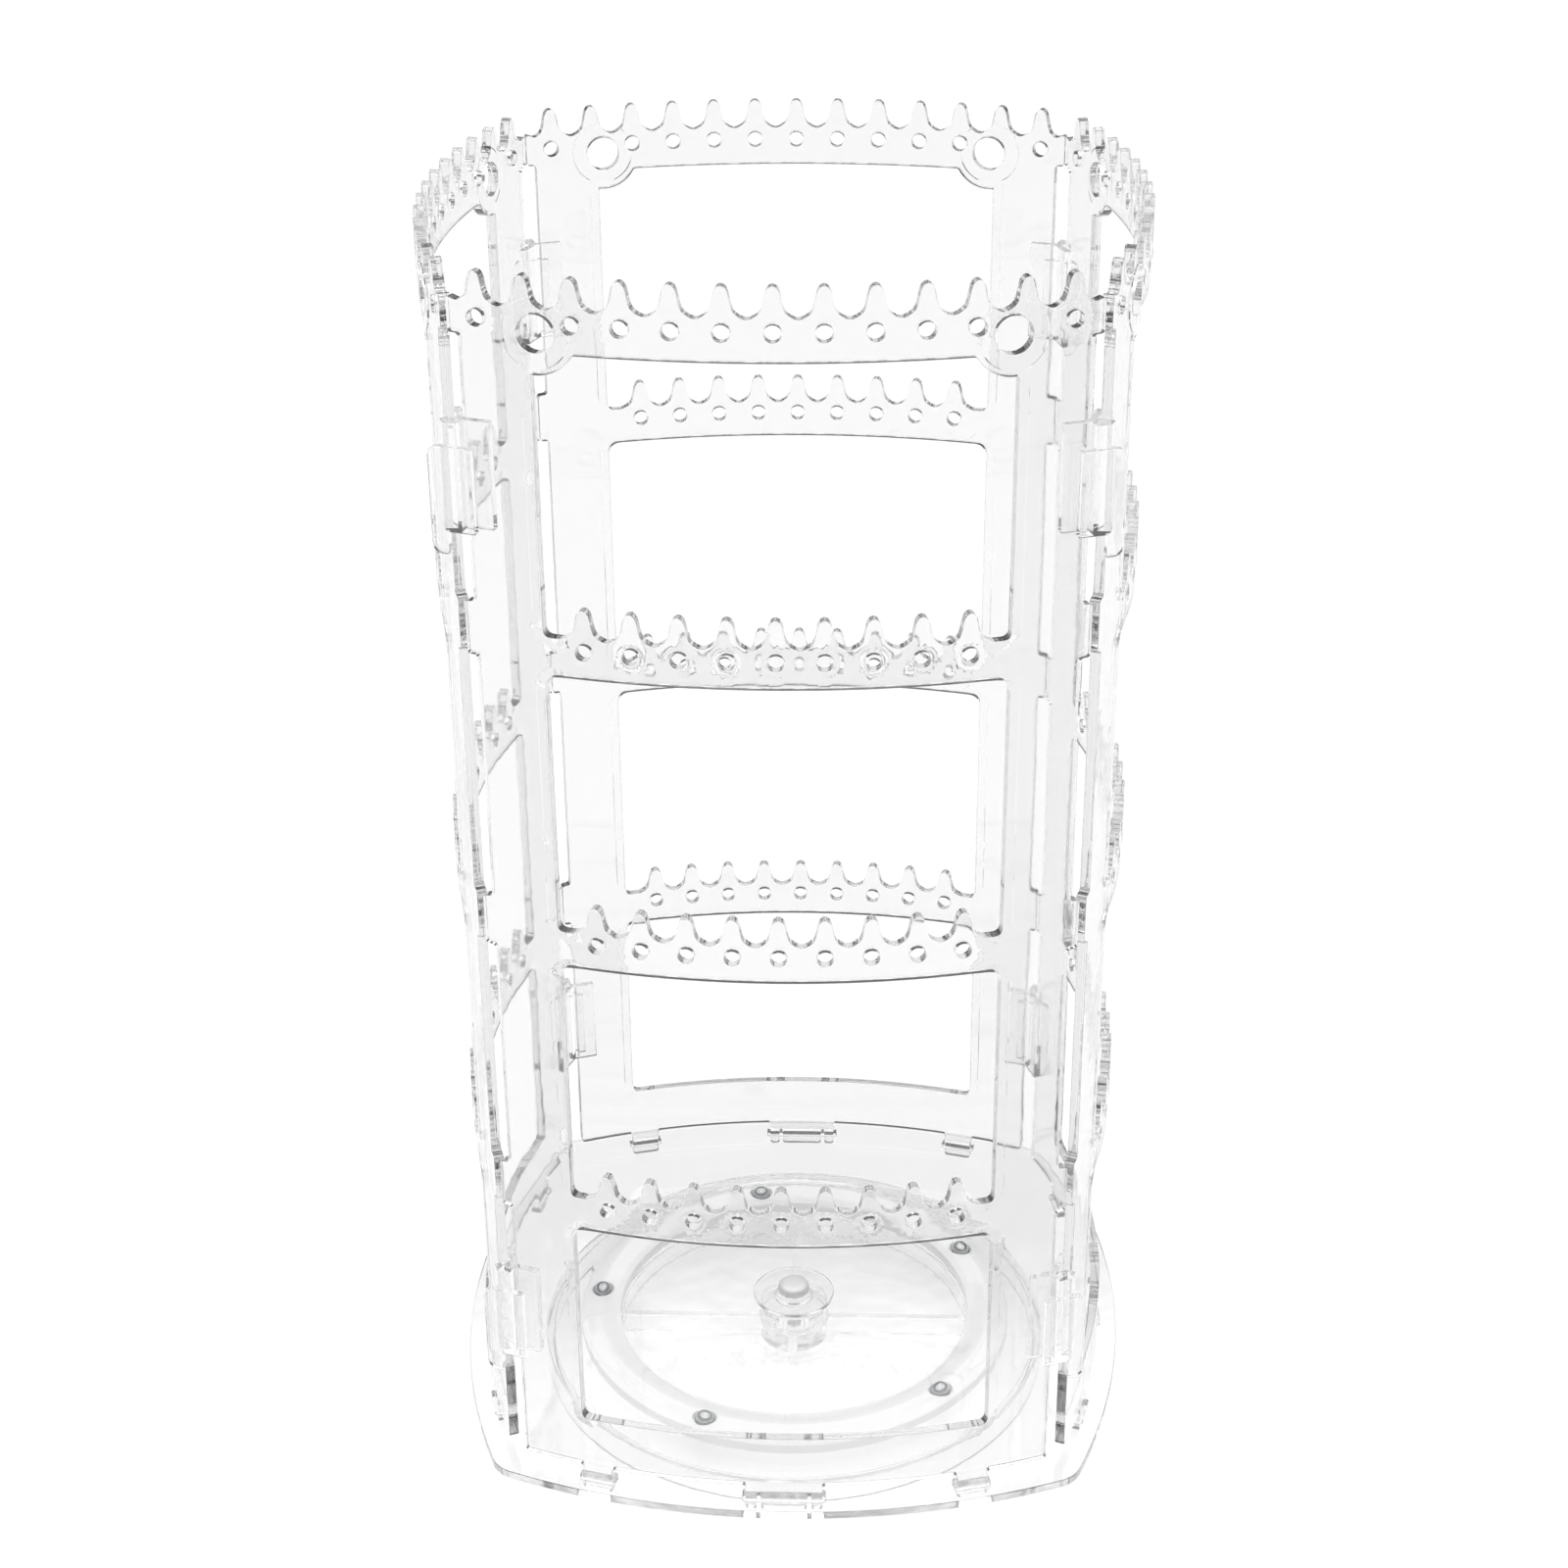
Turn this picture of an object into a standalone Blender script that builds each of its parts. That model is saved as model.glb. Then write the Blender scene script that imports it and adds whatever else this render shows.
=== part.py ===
"""Rotating earring rack: four bowed comb panels on a ball-bearing turntable.

Metres, +Z up. The rack stands on z = 0 and turns about the Z axis. The front panel faces -Y.
"""

import math

import bmesh
import bpy
from mathutils import Matrix, Vector

# Clearances between neighbouring pieces
SEAT_GAP = 0.0003
RUNNING_GAP = 0.0004

# Comb teeth and the holes for ear wires
TOOTH_PITCH = 0.0096
TOOTH_HEIGHT = 0.0064
TOOTH_BASE_WIDTH = 0.0048
TOOTH_TIP_WIDTH = 0.0025
TOOTH_TIP_DROP = 0.0010
VALLEY_DIP = 0.0011
HOOK_HOLE_DIAMETER = 0.0034
HOOK_HOLE_BELOW_VALLEY = 0.0027
TOP_ROW_TEETH = 13
LOWER_ROW_TEETH = 9
ROW_COUNT = 4
ROW_SPACING = 0.0664
BAR_HEIGHT = 0.0084

# Large holes at both ends of the top row
STUD_HOLE_DIAMETER = 0.0075
STUD_HOLE_WALL = 0.00435
STUD_HOLE_INSET = 0.0122
STUD_HOLE_BELOW_VALLEY = 0.0046

# Panels
PANEL_THICKNESS = 0.0022
PANEL_BOW_RADIUS = 0.165
PANEL_EDGE_MARGIN = 0.0038
CORNER_GAP = 0.0033
WINDOW_SIDE_MARGIN = 0.0082
WINDOW_CORNER_RADIUS = 0.0029
LAST_WINDOW_HEIGHT = 0.0524
BOTTOM_RAIL_HEIGHT = 0.0134
TONGUE_BELOW_TIP = 0.0010
TONGUE_ABOVE_UNDERSIDE = 0.0023
PANEL_STAND_OFF = 0.0034

# Tabs that hold each panel in the plate
CENTRE_TAB_WIDTH = 0.0176
CENTRE_TAB_SLIT = 0.0009
CENTRE_TAB_SLIT_INSET = 0.0026
CENTRE_TAB_SLIT_LENGTH = 0.0050
SIDE_TAB_WIDTH = 0.0072
SIDE_TAB_INSET = 0.0178
TAB_BELOW_PLATE = 0.0025
TAB_SLOT_CLEARANCE = 0.0006

# Corner clips
CLIP_WALL = 0.0017
CLIP_HEIGHT = 0.0222
CLIP_STEP = 0.0047
CLIP_LAP = 0.0022
CLIP_NOTCH = 0.0037
CLIP_REACH = 0.0073
CLIP_CORNER_RADIUS = 0.0020
CLIP_WEB_CLEARANCE = 0.0010
CLIP_ARM_LENGTH = 0.0046
UPPER_CLIP_DROP = 0.0014
LOWER_CLIP_ABOVE_EDGE = 0.0281

# Turntable plate
PLATE_THICKNESS = 0.0020
PLATE_OVERHANG = 0.0048
PLATE_CORNER_RADIUS = 0.0080

# Ball race
BALL_COUNT = 5
BALL_DIAMETER = 0.0050
BALL_CIRCLE_INSET = 0.0266
FIRST_BALL_ANGLE = math.radians(30)
TRACK_DEPTH = 0.0006
TRACK_WIDTH = 0.0040
CAGE_HEADROOM = 0.0015
CAGE_INNER_MARGIN = 0.0055
CAGE_OUTER_MARGIN = 0.0045

# Foot
FOOT_OVERHANG = 0.0130
FOOT_HEIGHT = 0.0080
FOOT_SKIN = 0.0020
FOOT_RIM = 0.0018
FOOT_RING_WALL = 0.0020
FOOT_RIB_WIDTH = 0.0022
FOOT_RIB_LIFT = 0.0008
RIB_COUNT = 4

# Hub
SCREW_SHANK_RADIUS = 0.0017
SCREW_HEAD_OVERHANG = 0.0022
SCREW_HEAD_HEIGHT = 0.0024
SCREW_BORE_FLOOR = 0.0050
SCREW_TIP_CLEARANCE = 0.0006
HUB_COLLAR_WALL = 0.0022
HUB_COLLAR_RISE = 0.0003
HUB_SHOULDER = 0.0041
WASHER_OVERLAP = 0.0054
WASHER_THICKNESS = 0.0010

# Facets
BOW_STEP = 0.016
HOOK_HOLE_SIDES = 7
STUD_HOLE_SIDES = 12
ARC_STEPS = 3
BALL_SEGMENTS = 10
HUB_SEGMENTS = 12
RACE_SEGMENTS = 30
PLATE_SIDE_STEPS = 8
FILL_SLANT = math.radians(17)
CAP_TILT_LIMIT = 0.9

# Heights of the stack, from the table up
FOOT_TOP = FOOT_HEIGHT
BALL_RADIUS = BALL_DIAMETER / 2
BALL_CENTRE = FOOT_TOP - TRACK_DEPTH + SEAT_GAP + BALL_RADIUS
PLATE_BOTTOM = BALL_CENTRE + BALL_RADIUS + SEAT_GAP - TRACK_DEPTH
PLATE_TOP = PLATE_BOTTOM + PLATE_THICKNESS
PANEL_BOTTOM = PLATE_TOP + PANEL_STAND_OFF
CAGE_BOTTOM = FOOT_TOP + SEAT_GAP
CAGE_TOP = PLATE_BOTTOM - CAGE_HEADROOM
POST_TOP = PLATE_BOTTOM - SEAT_GAP
COLLAR_TOP = PLATE_TOP + HUB_COLLAR_RISE
BORE_BOTTOM = FOOT_RIB_LIFT + SCREW_BORE_FLOOR
WASHER_BOTTOM = COLLAR_TOP + SEAT_GAP
SCREW_HEAD_BOTTOM = WASHER_BOTTOM + WASHER_THICKNESS + SEAT_GAP

# Heights on a panel, measured up from its lower edge
LOWEST_VALLEY = BOTTOM_RAIL_HEIGHT + LAST_WINDOW_HEIGHT + BAR_HEIGHT
ROW_VALLEYS = [LOWEST_VALLEY + ROW_SPACING * (ROW_COUNT - 1 - row) for row in range(ROW_COUNT)]
TONGUE_TOPS = [valley + TOOTH_HEIGHT - TONGUE_BELOW_TIP for valley in ROW_VALLEYS]
TONGUE_TOPS[0] = ROW_VALLEYS[0] + VALLEY_DIP
STUD_HOLE_HEIGHT = ROW_VALLEYS[0] - STUD_HOLE_BELOW_VALLEY
TONGUE_BOTTOMS = [valley - BAR_HEIGHT + TONGUE_ABOVE_UNDERSIDE for valley in ROW_VALLEYS]

# Widths on a panel, measured along its bowed outer face
OUTERMOST_TOOTH = (TOP_ROW_TEETH - 1) / 2 * TOOTH_PITCH
HALF_WIDTH = OUTERMOST_TOOTH + PANEL_EDGE_MARGIN
HALF_WINDOW = (LOWER_ROW_TEETH - 1) / 2 * TOOTH_PITCH + WINDOW_SIDE_MARGIN
STUD_HOLE_OFFSET = OUTERMOST_TOOTH - STUD_HOLE_INSET
STUD_BOSS_RADIUS = STUD_HOLE_DIAMETER / 2 + STUD_HOLE_WALL
SIDE_TAB_OFFSET = HALF_WIDTH - SIDE_TAB_INSET

# Plan of a panel: an arc about BOW_CENTRE, whose ends meet the next panel on the diagonal
CORNER_ANGLE = (HALF_WIDTH + CORNER_GAP) / PANEL_BOW_RADIUS
PANEL_DISTANCE = PANEL_BOW_RADIUS * (math.sin(CORNER_ANGLE) + 1 - math.cos(CORNER_ANGLE))
BOW_CENTRE = PANEL_BOW_RADIUS - PANEL_DISTANCE

# Radii of the ball race, the foot and the hub
BALL_CIRCLE_RADIUS = PANEL_DISTANCE - BALL_CIRCLE_INSET
CAGE_INNER_RADIUS = BALL_CIRCLE_RADIUS - CAGE_INNER_MARGIN
CAGE_OUTER_RADIUS = BALL_CIRCLE_RADIUS + CAGE_OUTER_MARGIN
FOOT_RADIUS = BALL_CIRCLE_RADIUS + FOOT_OVERHANG
SCREW_BORE_RADIUS = SCREW_SHANK_RADIUS + SEAT_GAP
COLLAR_RADIUS = SCREW_BORE_RADIUS + HUB_COLLAR_WALL
POST_RADIUS = COLLAR_RADIUS + HUB_SHOULDER
PLATE_BORE_RADIUS = COLLAR_RADIUS + RUNNING_GAP
WASHER_RADIUS = PLATE_BORE_RADIUS + WASHER_OVERLAP
SCREW_HEAD_RADIUS = SCREW_SHANK_RADIUS + SCREW_HEAD_OVERHANG

CLEAR_STYRENE = ("clear_styrene", (0.93, 0.95, 0.96), 0.06, 0.0, 0.25)
FROSTED_PLASTIC = ("frosted_grey_plastic", (0.72, 0.73, 0.74), 0.35, 0.0, 0.6)
BALL_STEEL = ("polished_steel", (0.60, 0.61, 0.62), 0.10, 1.0, 1.0)
CHROME = ("chrome_plate", (0.80, 0.81, 0.82), 0.08, 1.0, 1.0)


def clear_scene():
    """Remove every object that the file opened with."""
    for item in list(bpy.data.objects):
        bpy.data.objects.remove(item, do_unlink=True)


def make_collection(name):
    """Return a new collection linked to the scene."""
    group = bpy.data.collections.new(name)
    bpy.context.scene.collection.children.link(group)
    return group


def make_material(settings):
    """Return a Principled material from (name, colour, roughness, metallic, alpha)."""
    name, colour, roughness, metallic, alpha = settings
    material = bpy.data.materials.new(name)
    material.use_nodes = True
    shader = material.node_tree.nodes["Principled BSDF"]
    shader.inputs["Base Color"].default_value = (*colour, 1.0)
    shader.inputs["Roughness"].default_value = roughness
    shader.inputs["Metallic"].default_value = metallic
    shader.inputs["Alpha"].default_value = alpha
    return material


def link_object(name, mesh, material=None):
    """Put a mesh in the rack's collection as a named part."""
    part = bpy.data.objects.new(name, mesh)
    parts.objects.link(part)
    if material is not None and not mesh.materials:
        mesh.materials.append(material)
    return part


def add_cutter(name, mesh):
    """Put a mesh in the cutters' collection, hidden from renders."""
    cutter = bpy.data.objects.new(name, mesh)
    cutters.objects.link(cutter)
    cutter.hide_render = True
    cutter.display_type = "WIRE"
    return cutter


def add_boolean(part, cutter, operation):
    """Cut a part with a cutter, or join the cutter's shape to it."""
    modifier = part.modifiers.new(cutter.name, "BOOLEAN")
    modifier.object = cutter
    modifier.operation = operation
    modifier.solver = "EXACT"


def evaluated_mesh(source, name):
    """Return the mesh of an object with its modifiers or curve fill worked out, ends welded."""
    graph = bpy.context.evaluated_depsgraph_get()
    mesh = bpy.data.meshes.new_from_object(source.evaluated_get(graph))
    mesh.name = name
    work = bmesh.new()
    work.from_mesh(mesh)
    bmesh.ops.remove_doubles(work, verts=work.verts, dist=1e-6)
    work.to_mesh(mesh)
    work.free()
    return mesh


def sheet_mesh(name, loops, thickness):
    """Fill closed XY outlines as a flat 2D curve, holes left open, with the thickness about z = 0.

    The fill is made at a slant and turned back, since corners on one level would give it flat slivers.
    """
    slant = Matrix.Rotation(FILL_SLANT, 4, "Z")
    curve = bpy.data.curves.new(name, "CURVE")
    curve.dimensions = "2D"
    curve.fill_mode = "BOTH"
    curve.extrude = thickness / 2
    for loop in loops:
        spline = curve.splines.new("POLY")
        spline.points.add(len(loop) - 1)
        for point, (x, y) in zip(spline.points, loop):
            point.co = (*(slant @ Vector((x, y, 0.0))), 1.0)
        spline.use_cyclic_u = True
    outline = bpy.data.objects.new(name, curve)
    bpy.context.scene.collection.objects.link(outline)
    mesh = evaluated_mesh(outline, name)
    mesh.transform(slant.inverted())
    bpy.data.objects.remove(outline, do_unlink=True)
    bpy.data.curves.remove(curve)
    return mesh


def turned_mesh(name, profile, segments):
    """Turn an open (radius, height) profile about Z with a Screw modifier."""
    mesh = bpy.data.meshes.new(name)
    corners = [(radius, 0.0, height) for radius, height in profile]
    mesh.from_pydata(corners, [(i, i + 1) for i in range(len(corners) - 1)], [])
    holder = bpy.data.objects.new(name, mesh)
    bpy.context.scene.collection.objects.link(holder)
    screw = holder.modifiers.new("turn", "SCREW")
    screw.steps = segments
    screw.render_steps = segments
    screw.use_merge_vertices = True
    screw.merge_threshold = 0.00001
    surface = evaluated_mesh(holder, name)
    bpy.data.objects.remove(holder, do_unlink=True)
    bpy.data.meshes.remove(mesh)
    return surface


def arc_points(centre, radius, start, end, steps):
    """Points on an arc from angle start to angle end, both ends included."""
    angles = [start + (end - start) * i / steps for i in range(steps + 1)]
    return [(centre[0] + radius * math.cos(a), centre[1] + radius * math.sin(a)) for a in angles]


def circle_points(centre, radius, sides):
    """Corners of a regular polygon of the given radius."""
    return arc_points(centre, radius, 0.0, math.tau, sides)[:-1]


def smooth(mesh, degrees):
    """Shade a mesh smooth, with its edges sharper than the angle kept hard."""
    mesh.shade_smooth()
    mesh.set_sharp_from_angle(angle=math.radians(degrees))


def bowed(x, depth):
    """Plan point of the front panel at a width along its outer face and a depth behind that face."""
    angle = x / PANEL_BOW_RADIUS
    radius = PANEL_BOW_RADIUS - depth
    return Vector((radius * math.sin(angle), BOW_CENTRE - radius * math.cos(angle)))


def level_run(start, end, height):
    """Points of a level edge from start up to end, close enough together to follow the bow."""
    steps = math.ceil(abs(end - start) / BOW_STEP)
    return [(start + (end - start) * i / steps, height) for i in range(steps)]


def comb_edge(teeth, valley):
    """Upper edge of a comb row from left to right: round-tipped fingers with scooped valleys."""
    points = []
    half_base = TOOTH_BASE_WIDTH / 2
    half_tip = TOOTH_TIP_WIDTH / 2
    tip = valley + TOOTH_HEIGHT
    for index in range(teeth):
        middle = (index - (teeth - 1) / 2) * TOOTH_PITCH
        if index > 0:
            points.append((middle - TOOTH_PITCH / 2, valley))
        points.append((middle - half_base, valley + VALLEY_DIP))
        points.append((middle - half_tip, tip - TOOTH_TIP_DROP))
        points.append((middle, tip))
        points.append((middle + half_tip, tip - TOOTH_TIP_DROP))
        points.append((middle + half_base, valley + VALLEY_DIP))
    return points


def boss_arc(underside):
    """Right end of the first window's upper edge, bitten by the boss round the large hole."""
    centre = (STUD_HOLE_OFFSET, STUD_HOLE_HEIGHT)
    start = -math.acos((HALF_WINDOW - centre[0]) / STUD_BOSS_RADIUS)
    end = -math.pi + math.asin((centre[1] - underside) / STUD_BOSS_RADIUS)
    return arc_points(centre, STUD_BOSS_RADIUS, start, end, 2 * ARC_STEPS)


def corner_arc(underside):
    """Round right end of a lower window's upper edge."""
    centre = (HALF_WINDOW - WINDOW_CORNER_RADIUS, underside - WINDOW_CORNER_RADIUS)
    return arc_points(centre, WINDOW_CORNER_RADIUS, 0.0, math.pi / 2, ARC_STEPS)


def window_loops():
    """The four windows between the comb rows."""
    loops = []
    for row in range(ROW_COUNT):
        underside = ROW_VALLEYS[row] - BAR_HEIGHT
        right = boss_arc(underside) if row == 0 else corner_arc(underside)
        left = [(-x, y) for x, y in reversed(right)]
        top = right + level_run(right[-1][0], left[0][0], underside)[1:] + left
        if row + 1 < ROW_COUNT:
            valley = ROW_VALLEYS[row + 1]
            sill = [(-HALF_WINDOW, valley)] + comb_edge(LOWER_ROW_TEETH, valley)
        else:
            valley = BOTTOM_RAIL_HEIGHT
            sill = level_run(-HALF_WINDOW, HALF_WINDOW, valley)
        loops.append(sill + [(HALF_WINDOW, valley)] + top)
    return loops


def hole_loops():
    """Hook holes under the teeth, and the two large holes of the top row."""
    loops = []
    for row in range(ROW_COUNT):
        teeth = TOP_ROW_TEETH if row == 0 else LOWER_ROW_TEETH
        height = ROW_VALLEYS[row] - HOOK_HOLE_BELOW_VALLEY
        for index in range(teeth):
            if row == 0 and index in (1, teeth - 2):
                continue
            middle = (index - (teeth - 1) / 2) * TOOTH_PITCH
            loops.append(circle_points((middle, height), HOOK_HOLE_DIAMETER / 2, HOOK_HOLE_SIDES))
    for side in (-1, 1):
        centre = (side * STUD_HOLE_OFFSET, STUD_HOLE_HEIGHT)
        loops.append(circle_points(centre, STUD_HOLE_DIAMETER / 2, STUD_HOLE_SIDES))
    return loops


def tongue_half_width():
    """Width at which a square-cut end stops half a seat gap short of the diagonal."""
    reach = (BOW_CENTRE / math.sqrt(2) + SEAT_GAP / 2) / (PANEL_BOW_RADIUS - PANEL_THICKNESS)
    return PANEL_BOW_RADIUS * (math.pi / 4 - math.asin(reach))


def right_edge():
    """Right side of the panel from bottom to top: a tongue at each comb row, slots between."""
    tongue = tongue_half_width()
    points = [(HALF_WIDTH, 0.0)]
    for low, high in zip(reversed(TONGUE_BOTTOMS), reversed(TONGUE_TOPS)):
        points.append((HALF_WIDTH, low))
        points.append((tongue, low))
        points.append((tongue, high))
        points.append((HALF_WIDTH, high))
    return points[:-1]


def bottom_edge():
    """Lower edge from left to right: side tab, slit centre tab, side tab."""
    depth = -(PANEL_STAND_OFF + PLATE_THICKNESS + TAB_BELOW_PLATE)
    side = SIDE_TAB_WIDTH / 2
    centre = CENTRE_TAB_WIDTH / 2
    slit_outer = centre - CENTRE_TAB_SLIT_INSET
    slit_inner = slit_outer - CENTRE_TAB_SLIT
    slit_top = depth + CENTRE_TAB_SLIT_LENGTH
    right = [
        (slit_inner, depth),
        (slit_inner, slit_top),
        (slit_outer, slit_top),
        (slit_outer, depth),
        (centre, depth),
    ]
    right += level_run(centre, SIDE_TAB_OFFSET - side, 0.0)
    right += [
        (SIDE_TAB_OFFSET - side, 0.0),
        (SIDE_TAB_OFFSET - side, depth),
        (SIDE_TAB_OFFSET + side, depth),
        (SIDE_TAB_OFFSET + side, 0.0),
    ]
    return [(-x, y) for x, y in reversed(right)] + right


def panel_outline():
    """Outer edge of the flat panel, counter-clockwise from the lower left tab."""
    right = right_edge()
    left = [(-x, y) for x, y in reversed(right)]
    return bottom_edge() + right + list(reversed(comb_edge(TOP_ROW_TEETH, ROW_VALLEYS[0]))) + left


def bow(mesh):
    """Even out the fill of a flat panel, then bend the panel round the bow's centre.

    Flat x runs along the outer face, y is the height and z the way outwards through the wall.
    """
    work = bmesh.new()
    work.from_mesh(mesh)
    caps = [face for face in work.faces if abs(face.normal.z) > CAP_TILT_LIMIT]
    inside = [edge for edge in work.edges if all(face in caps for face in edge.link_faces)]
    bmesh.ops.beautify_fill(work, faces=caps, edges=inside, method="AREA")
    for vertex in work.verts:
        place = bowed(vertex.co.x, PANEL_THICKNESS / 2 - vertex.co.z)
        vertex.co = (place.x, place.y, PANEL_BOTTOM + vertex.co.y)
    work.to_mesh(mesh)
    work.free()


def build_panels():
    """Four equal comb panels, a quarter turn apart."""
    mesh = sheet_mesh("comb_panel", [panel_outline()] + window_loops() + hole_loops(), PANEL_THICKNESS)
    bow(mesh)
    smooth(mesh, 25)
    for quarter, side in enumerate(("front", "right", "back", "left")):
        panel = link_object(f"panel_{side}", mesh, clear_styrene)
        panel.rotation_euler.z = quarter * math.pi / 2
        panel.parent = turntable_axis


def wall_frame():
    """Turn that takes x along the front panel's right end, y up and z square out of its face."""
    wall = (bowed(HALF_WIDTH, 0.0) - bowed(HALF_WINDOW, 0.0)).normalized()
    return Matrix(((wall.x, 0.0, wall.y), (wall.y, 0.0, -wall.x), (0.0, 1.0, 0.0)))


def edge_point(along, outward):
    """Plan point near the front panel's right edge: along the wall to the corner, and out from its face."""
    return bowed(HALF_WIDTH, 0.0) + (wall_frame() @ Vector((along, 0.0, outward))).xy


def diagonal_point(outward):
    """Plan point where a line at this distance from the wall's outer face crosses the diagonal."""
    start = sum(edge_point(-CORNER_GAP, outward))
    end = sum(edge_point(0.0, outward))
    return edge_point(-CORNER_GAP + CORNER_GAP * start / (start - end), outward)


def across_diagonal(points):
    """Mirror plan points over the diagonal of the front right corner, in reverse order."""
    return [(-y, -x) for x, y in reversed(points)]


def prism_mesh(name, outline, bottom, top):
    """Upright prism over a plan outline."""
    mesh = sheet_mesh(name, [outline], top - bottom)
    mesh.transform(Matrix.Translation((0.0, 0.0, (top + bottom) / 2)))
    return mesh


def clip_plate_mesh():
    """Outer plate of a clip, flat on the front panel's end and free beyond the side panel's edge.

    It sits one step lower than the web, and below the web only its round-cornered free end goes on.
    """
    web_bottom = -CLIP_HEIGHT / 2
    low = web_bottom - CLIP_STEP
    high = CLIP_HEIGHT / 2 - CLIP_STEP
    radius = CLIP_CORNER_RADIUS
    outline = [(-CLIP_LAP, high), (-CLIP_LAP, web_bottom), (CLIP_NOTCH, web_bottom), (CLIP_NOTCH, low)]
    outline += arc_points((CLIP_REACH - radius, low + radius), radius, -math.pi / 2, 0.0, ARC_STEPS)
    outline += arc_points((CLIP_REACH - radius, high - radius), radius, 0.0, math.pi / 2, ARC_STEPS)
    mesh = sheet_mesh("clip_plate", [outline], CLIP_WALL)
    middle = edge_point(0.0, SEAT_GAP + CLIP_WALL / 2)
    mesh.transform(Matrix.Translation((middle.x, middle.y, 0.0)) @ wall_frame().to_4x4())
    return mesh


def clip_mesh():
    """Corner clip of the front right corner, its web centred on z = 0.

    The web stands in the slot between two panels and joins the outer plate to two arms behind them.
    """
    in_plate = SEAT_GAP + CLIP_WALL / 2
    arm_out = -PANEL_THICKNESS - SEAT_GAP
    arm_in = arm_out - CLIP_WALL
    near_side = [
        edge_point(CLIP_WEB_CLEARANCE, in_plate),
        edge_point(CLIP_WEB_CLEARANCE, arm_out),
        edge_point(-CLIP_ARM_LENGTH, arm_out),
        edge_point(-CLIP_ARM_LENGTH, arm_in),
    ]
    outline = near_side + [diagonal_point(arm_in)] + across_diagonal(near_side) + [diagonal_point(in_plate)]
    web = add_cutter("clip_web", prism_mesh("clip_web", outline, -CLIP_HEIGHT / 2, CLIP_HEIGHT / 2))
    clip = bpy.data.objects.new("clip_plate", clip_plate_mesh())
    bpy.context.scene.collection.objects.link(clip)
    add_boolean(clip, web, "UNION")
    mesh = evaluated_mesh(clip, "corner_clip")
    bpy.data.objects.remove(clip, do_unlink=True)
    bpy.data.objects.remove(web, do_unlink=True)
    return mesh


def mirrored_copy(mesh, name):
    """The same shape for the left-hand corners, mirrored in X with its faces turned outwards again."""
    twin = mesh.copy()
    twin.name = name
    twin.transform(Matrix.Scale(-1.0, 4, (1.0, 0.0, 0.0)))
    twin.flip_normals()
    return twin


def build_clips():
    """An upper and a lower clip at each corner, with the plate lapping the front or the back panel."""
    right_hand = clip_mesh()
    left_hand = mirrored_copy(right_hand, "corner_clip_left")
    corners = (
        ("front_right", right_hand, 0.0),
        ("front_left", left_hand, 0.0),
        ("back_left", right_hand, math.pi),
        ("back_right", left_hand, math.pi),
    )
    heights = (
        ("upper", PANEL_BOTTOM + (TONGUE_BOTTOMS[0] + TONGUE_TOPS[1]) / 2 - UPPER_CLIP_DROP),
        ("lower", PANEL_BOTTOM + LOWER_CLIP_ABOVE_EDGE + CLIP_HEIGHT / 2),
    )
    for level, height in heights:
        for corner, mesh, turn in corners:
            clip = link_object(f"clip_{level}_{corner}", mesh, clear_styrene)
            clip.location.z = height
            clip.rotation_euler.z = turn
            clip.parent = turntable_axis


def turned(points, quarters):
    """Plan points turned about the Z axis by a number of quarter turns."""
    quarter_turn = Matrix.Rotation(quarters * math.pi / 2, 2)
    return [tuple(quarter_turn @ Vector(point)) for point in points]


def plate_outline():
    """Plan of the plate: each side bows with its panel, and the corners are round."""
    radius = PANEL_BOW_RADIUS + PLATE_OVERHANG
    fillet = PLATE_CORNER_RADIUS
    inner = radius - fillet
    reach = math.acos(BOW_CENTRE / (math.sqrt(2) * inner)) - math.pi / 4
    corner_centre = (inner * math.sin(reach), BOW_CENTRE - inner * math.cos(reach))
    down = -math.pi / 2
    side = arc_points((0.0, BOW_CENTRE), radius, down - reach, down + reach, PLATE_SIDE_STEPS)
    corner = arc_points(corner_centre, fillet, down + reach, -reach, ARC_STEPS)
    outline = []
    for quarters in range(4):
        outline += turned(side + corner[1:-1], quarters)
    return outline


def slot_loops():
    """Plan outlines of the twelve slots that the tabs stand in."""
    loops = []
    tabs = ((-SIDE_TAB_OFFSET, SIDE_TAB_WIDTH), (0.0, CENTRE_TAB_WIDTH), (SIDE_TAB_OFFSET, SIDE_TAB_WIDTH))
    for offset, width in tabs:
        start = bowed(offset - width / 2, PANEL_THICKNESS / 2)
        middle = bowed(offset, PANEL_THICKNESS / 2)
        end = bowed(offset + width / 2, PANEL_THICKNESS / 2)
        centre = (start + 2 * middle + end) / 4
        along = (end - start).normalized()
        across = Vector((-along.y, along.x)) * (PANEL_THICKNESS / 2 + TAB_SLOT_CLEARANCE)
        along *= (end - start).length / 2 + TAB_SLOT_CLEARANCE
        loop = [centre - along - across, centre + along - across, centre + along + across, centre - along + across]
        loops += [turned(loop, quarters) for quarters in range(4)]
    return loops


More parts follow.
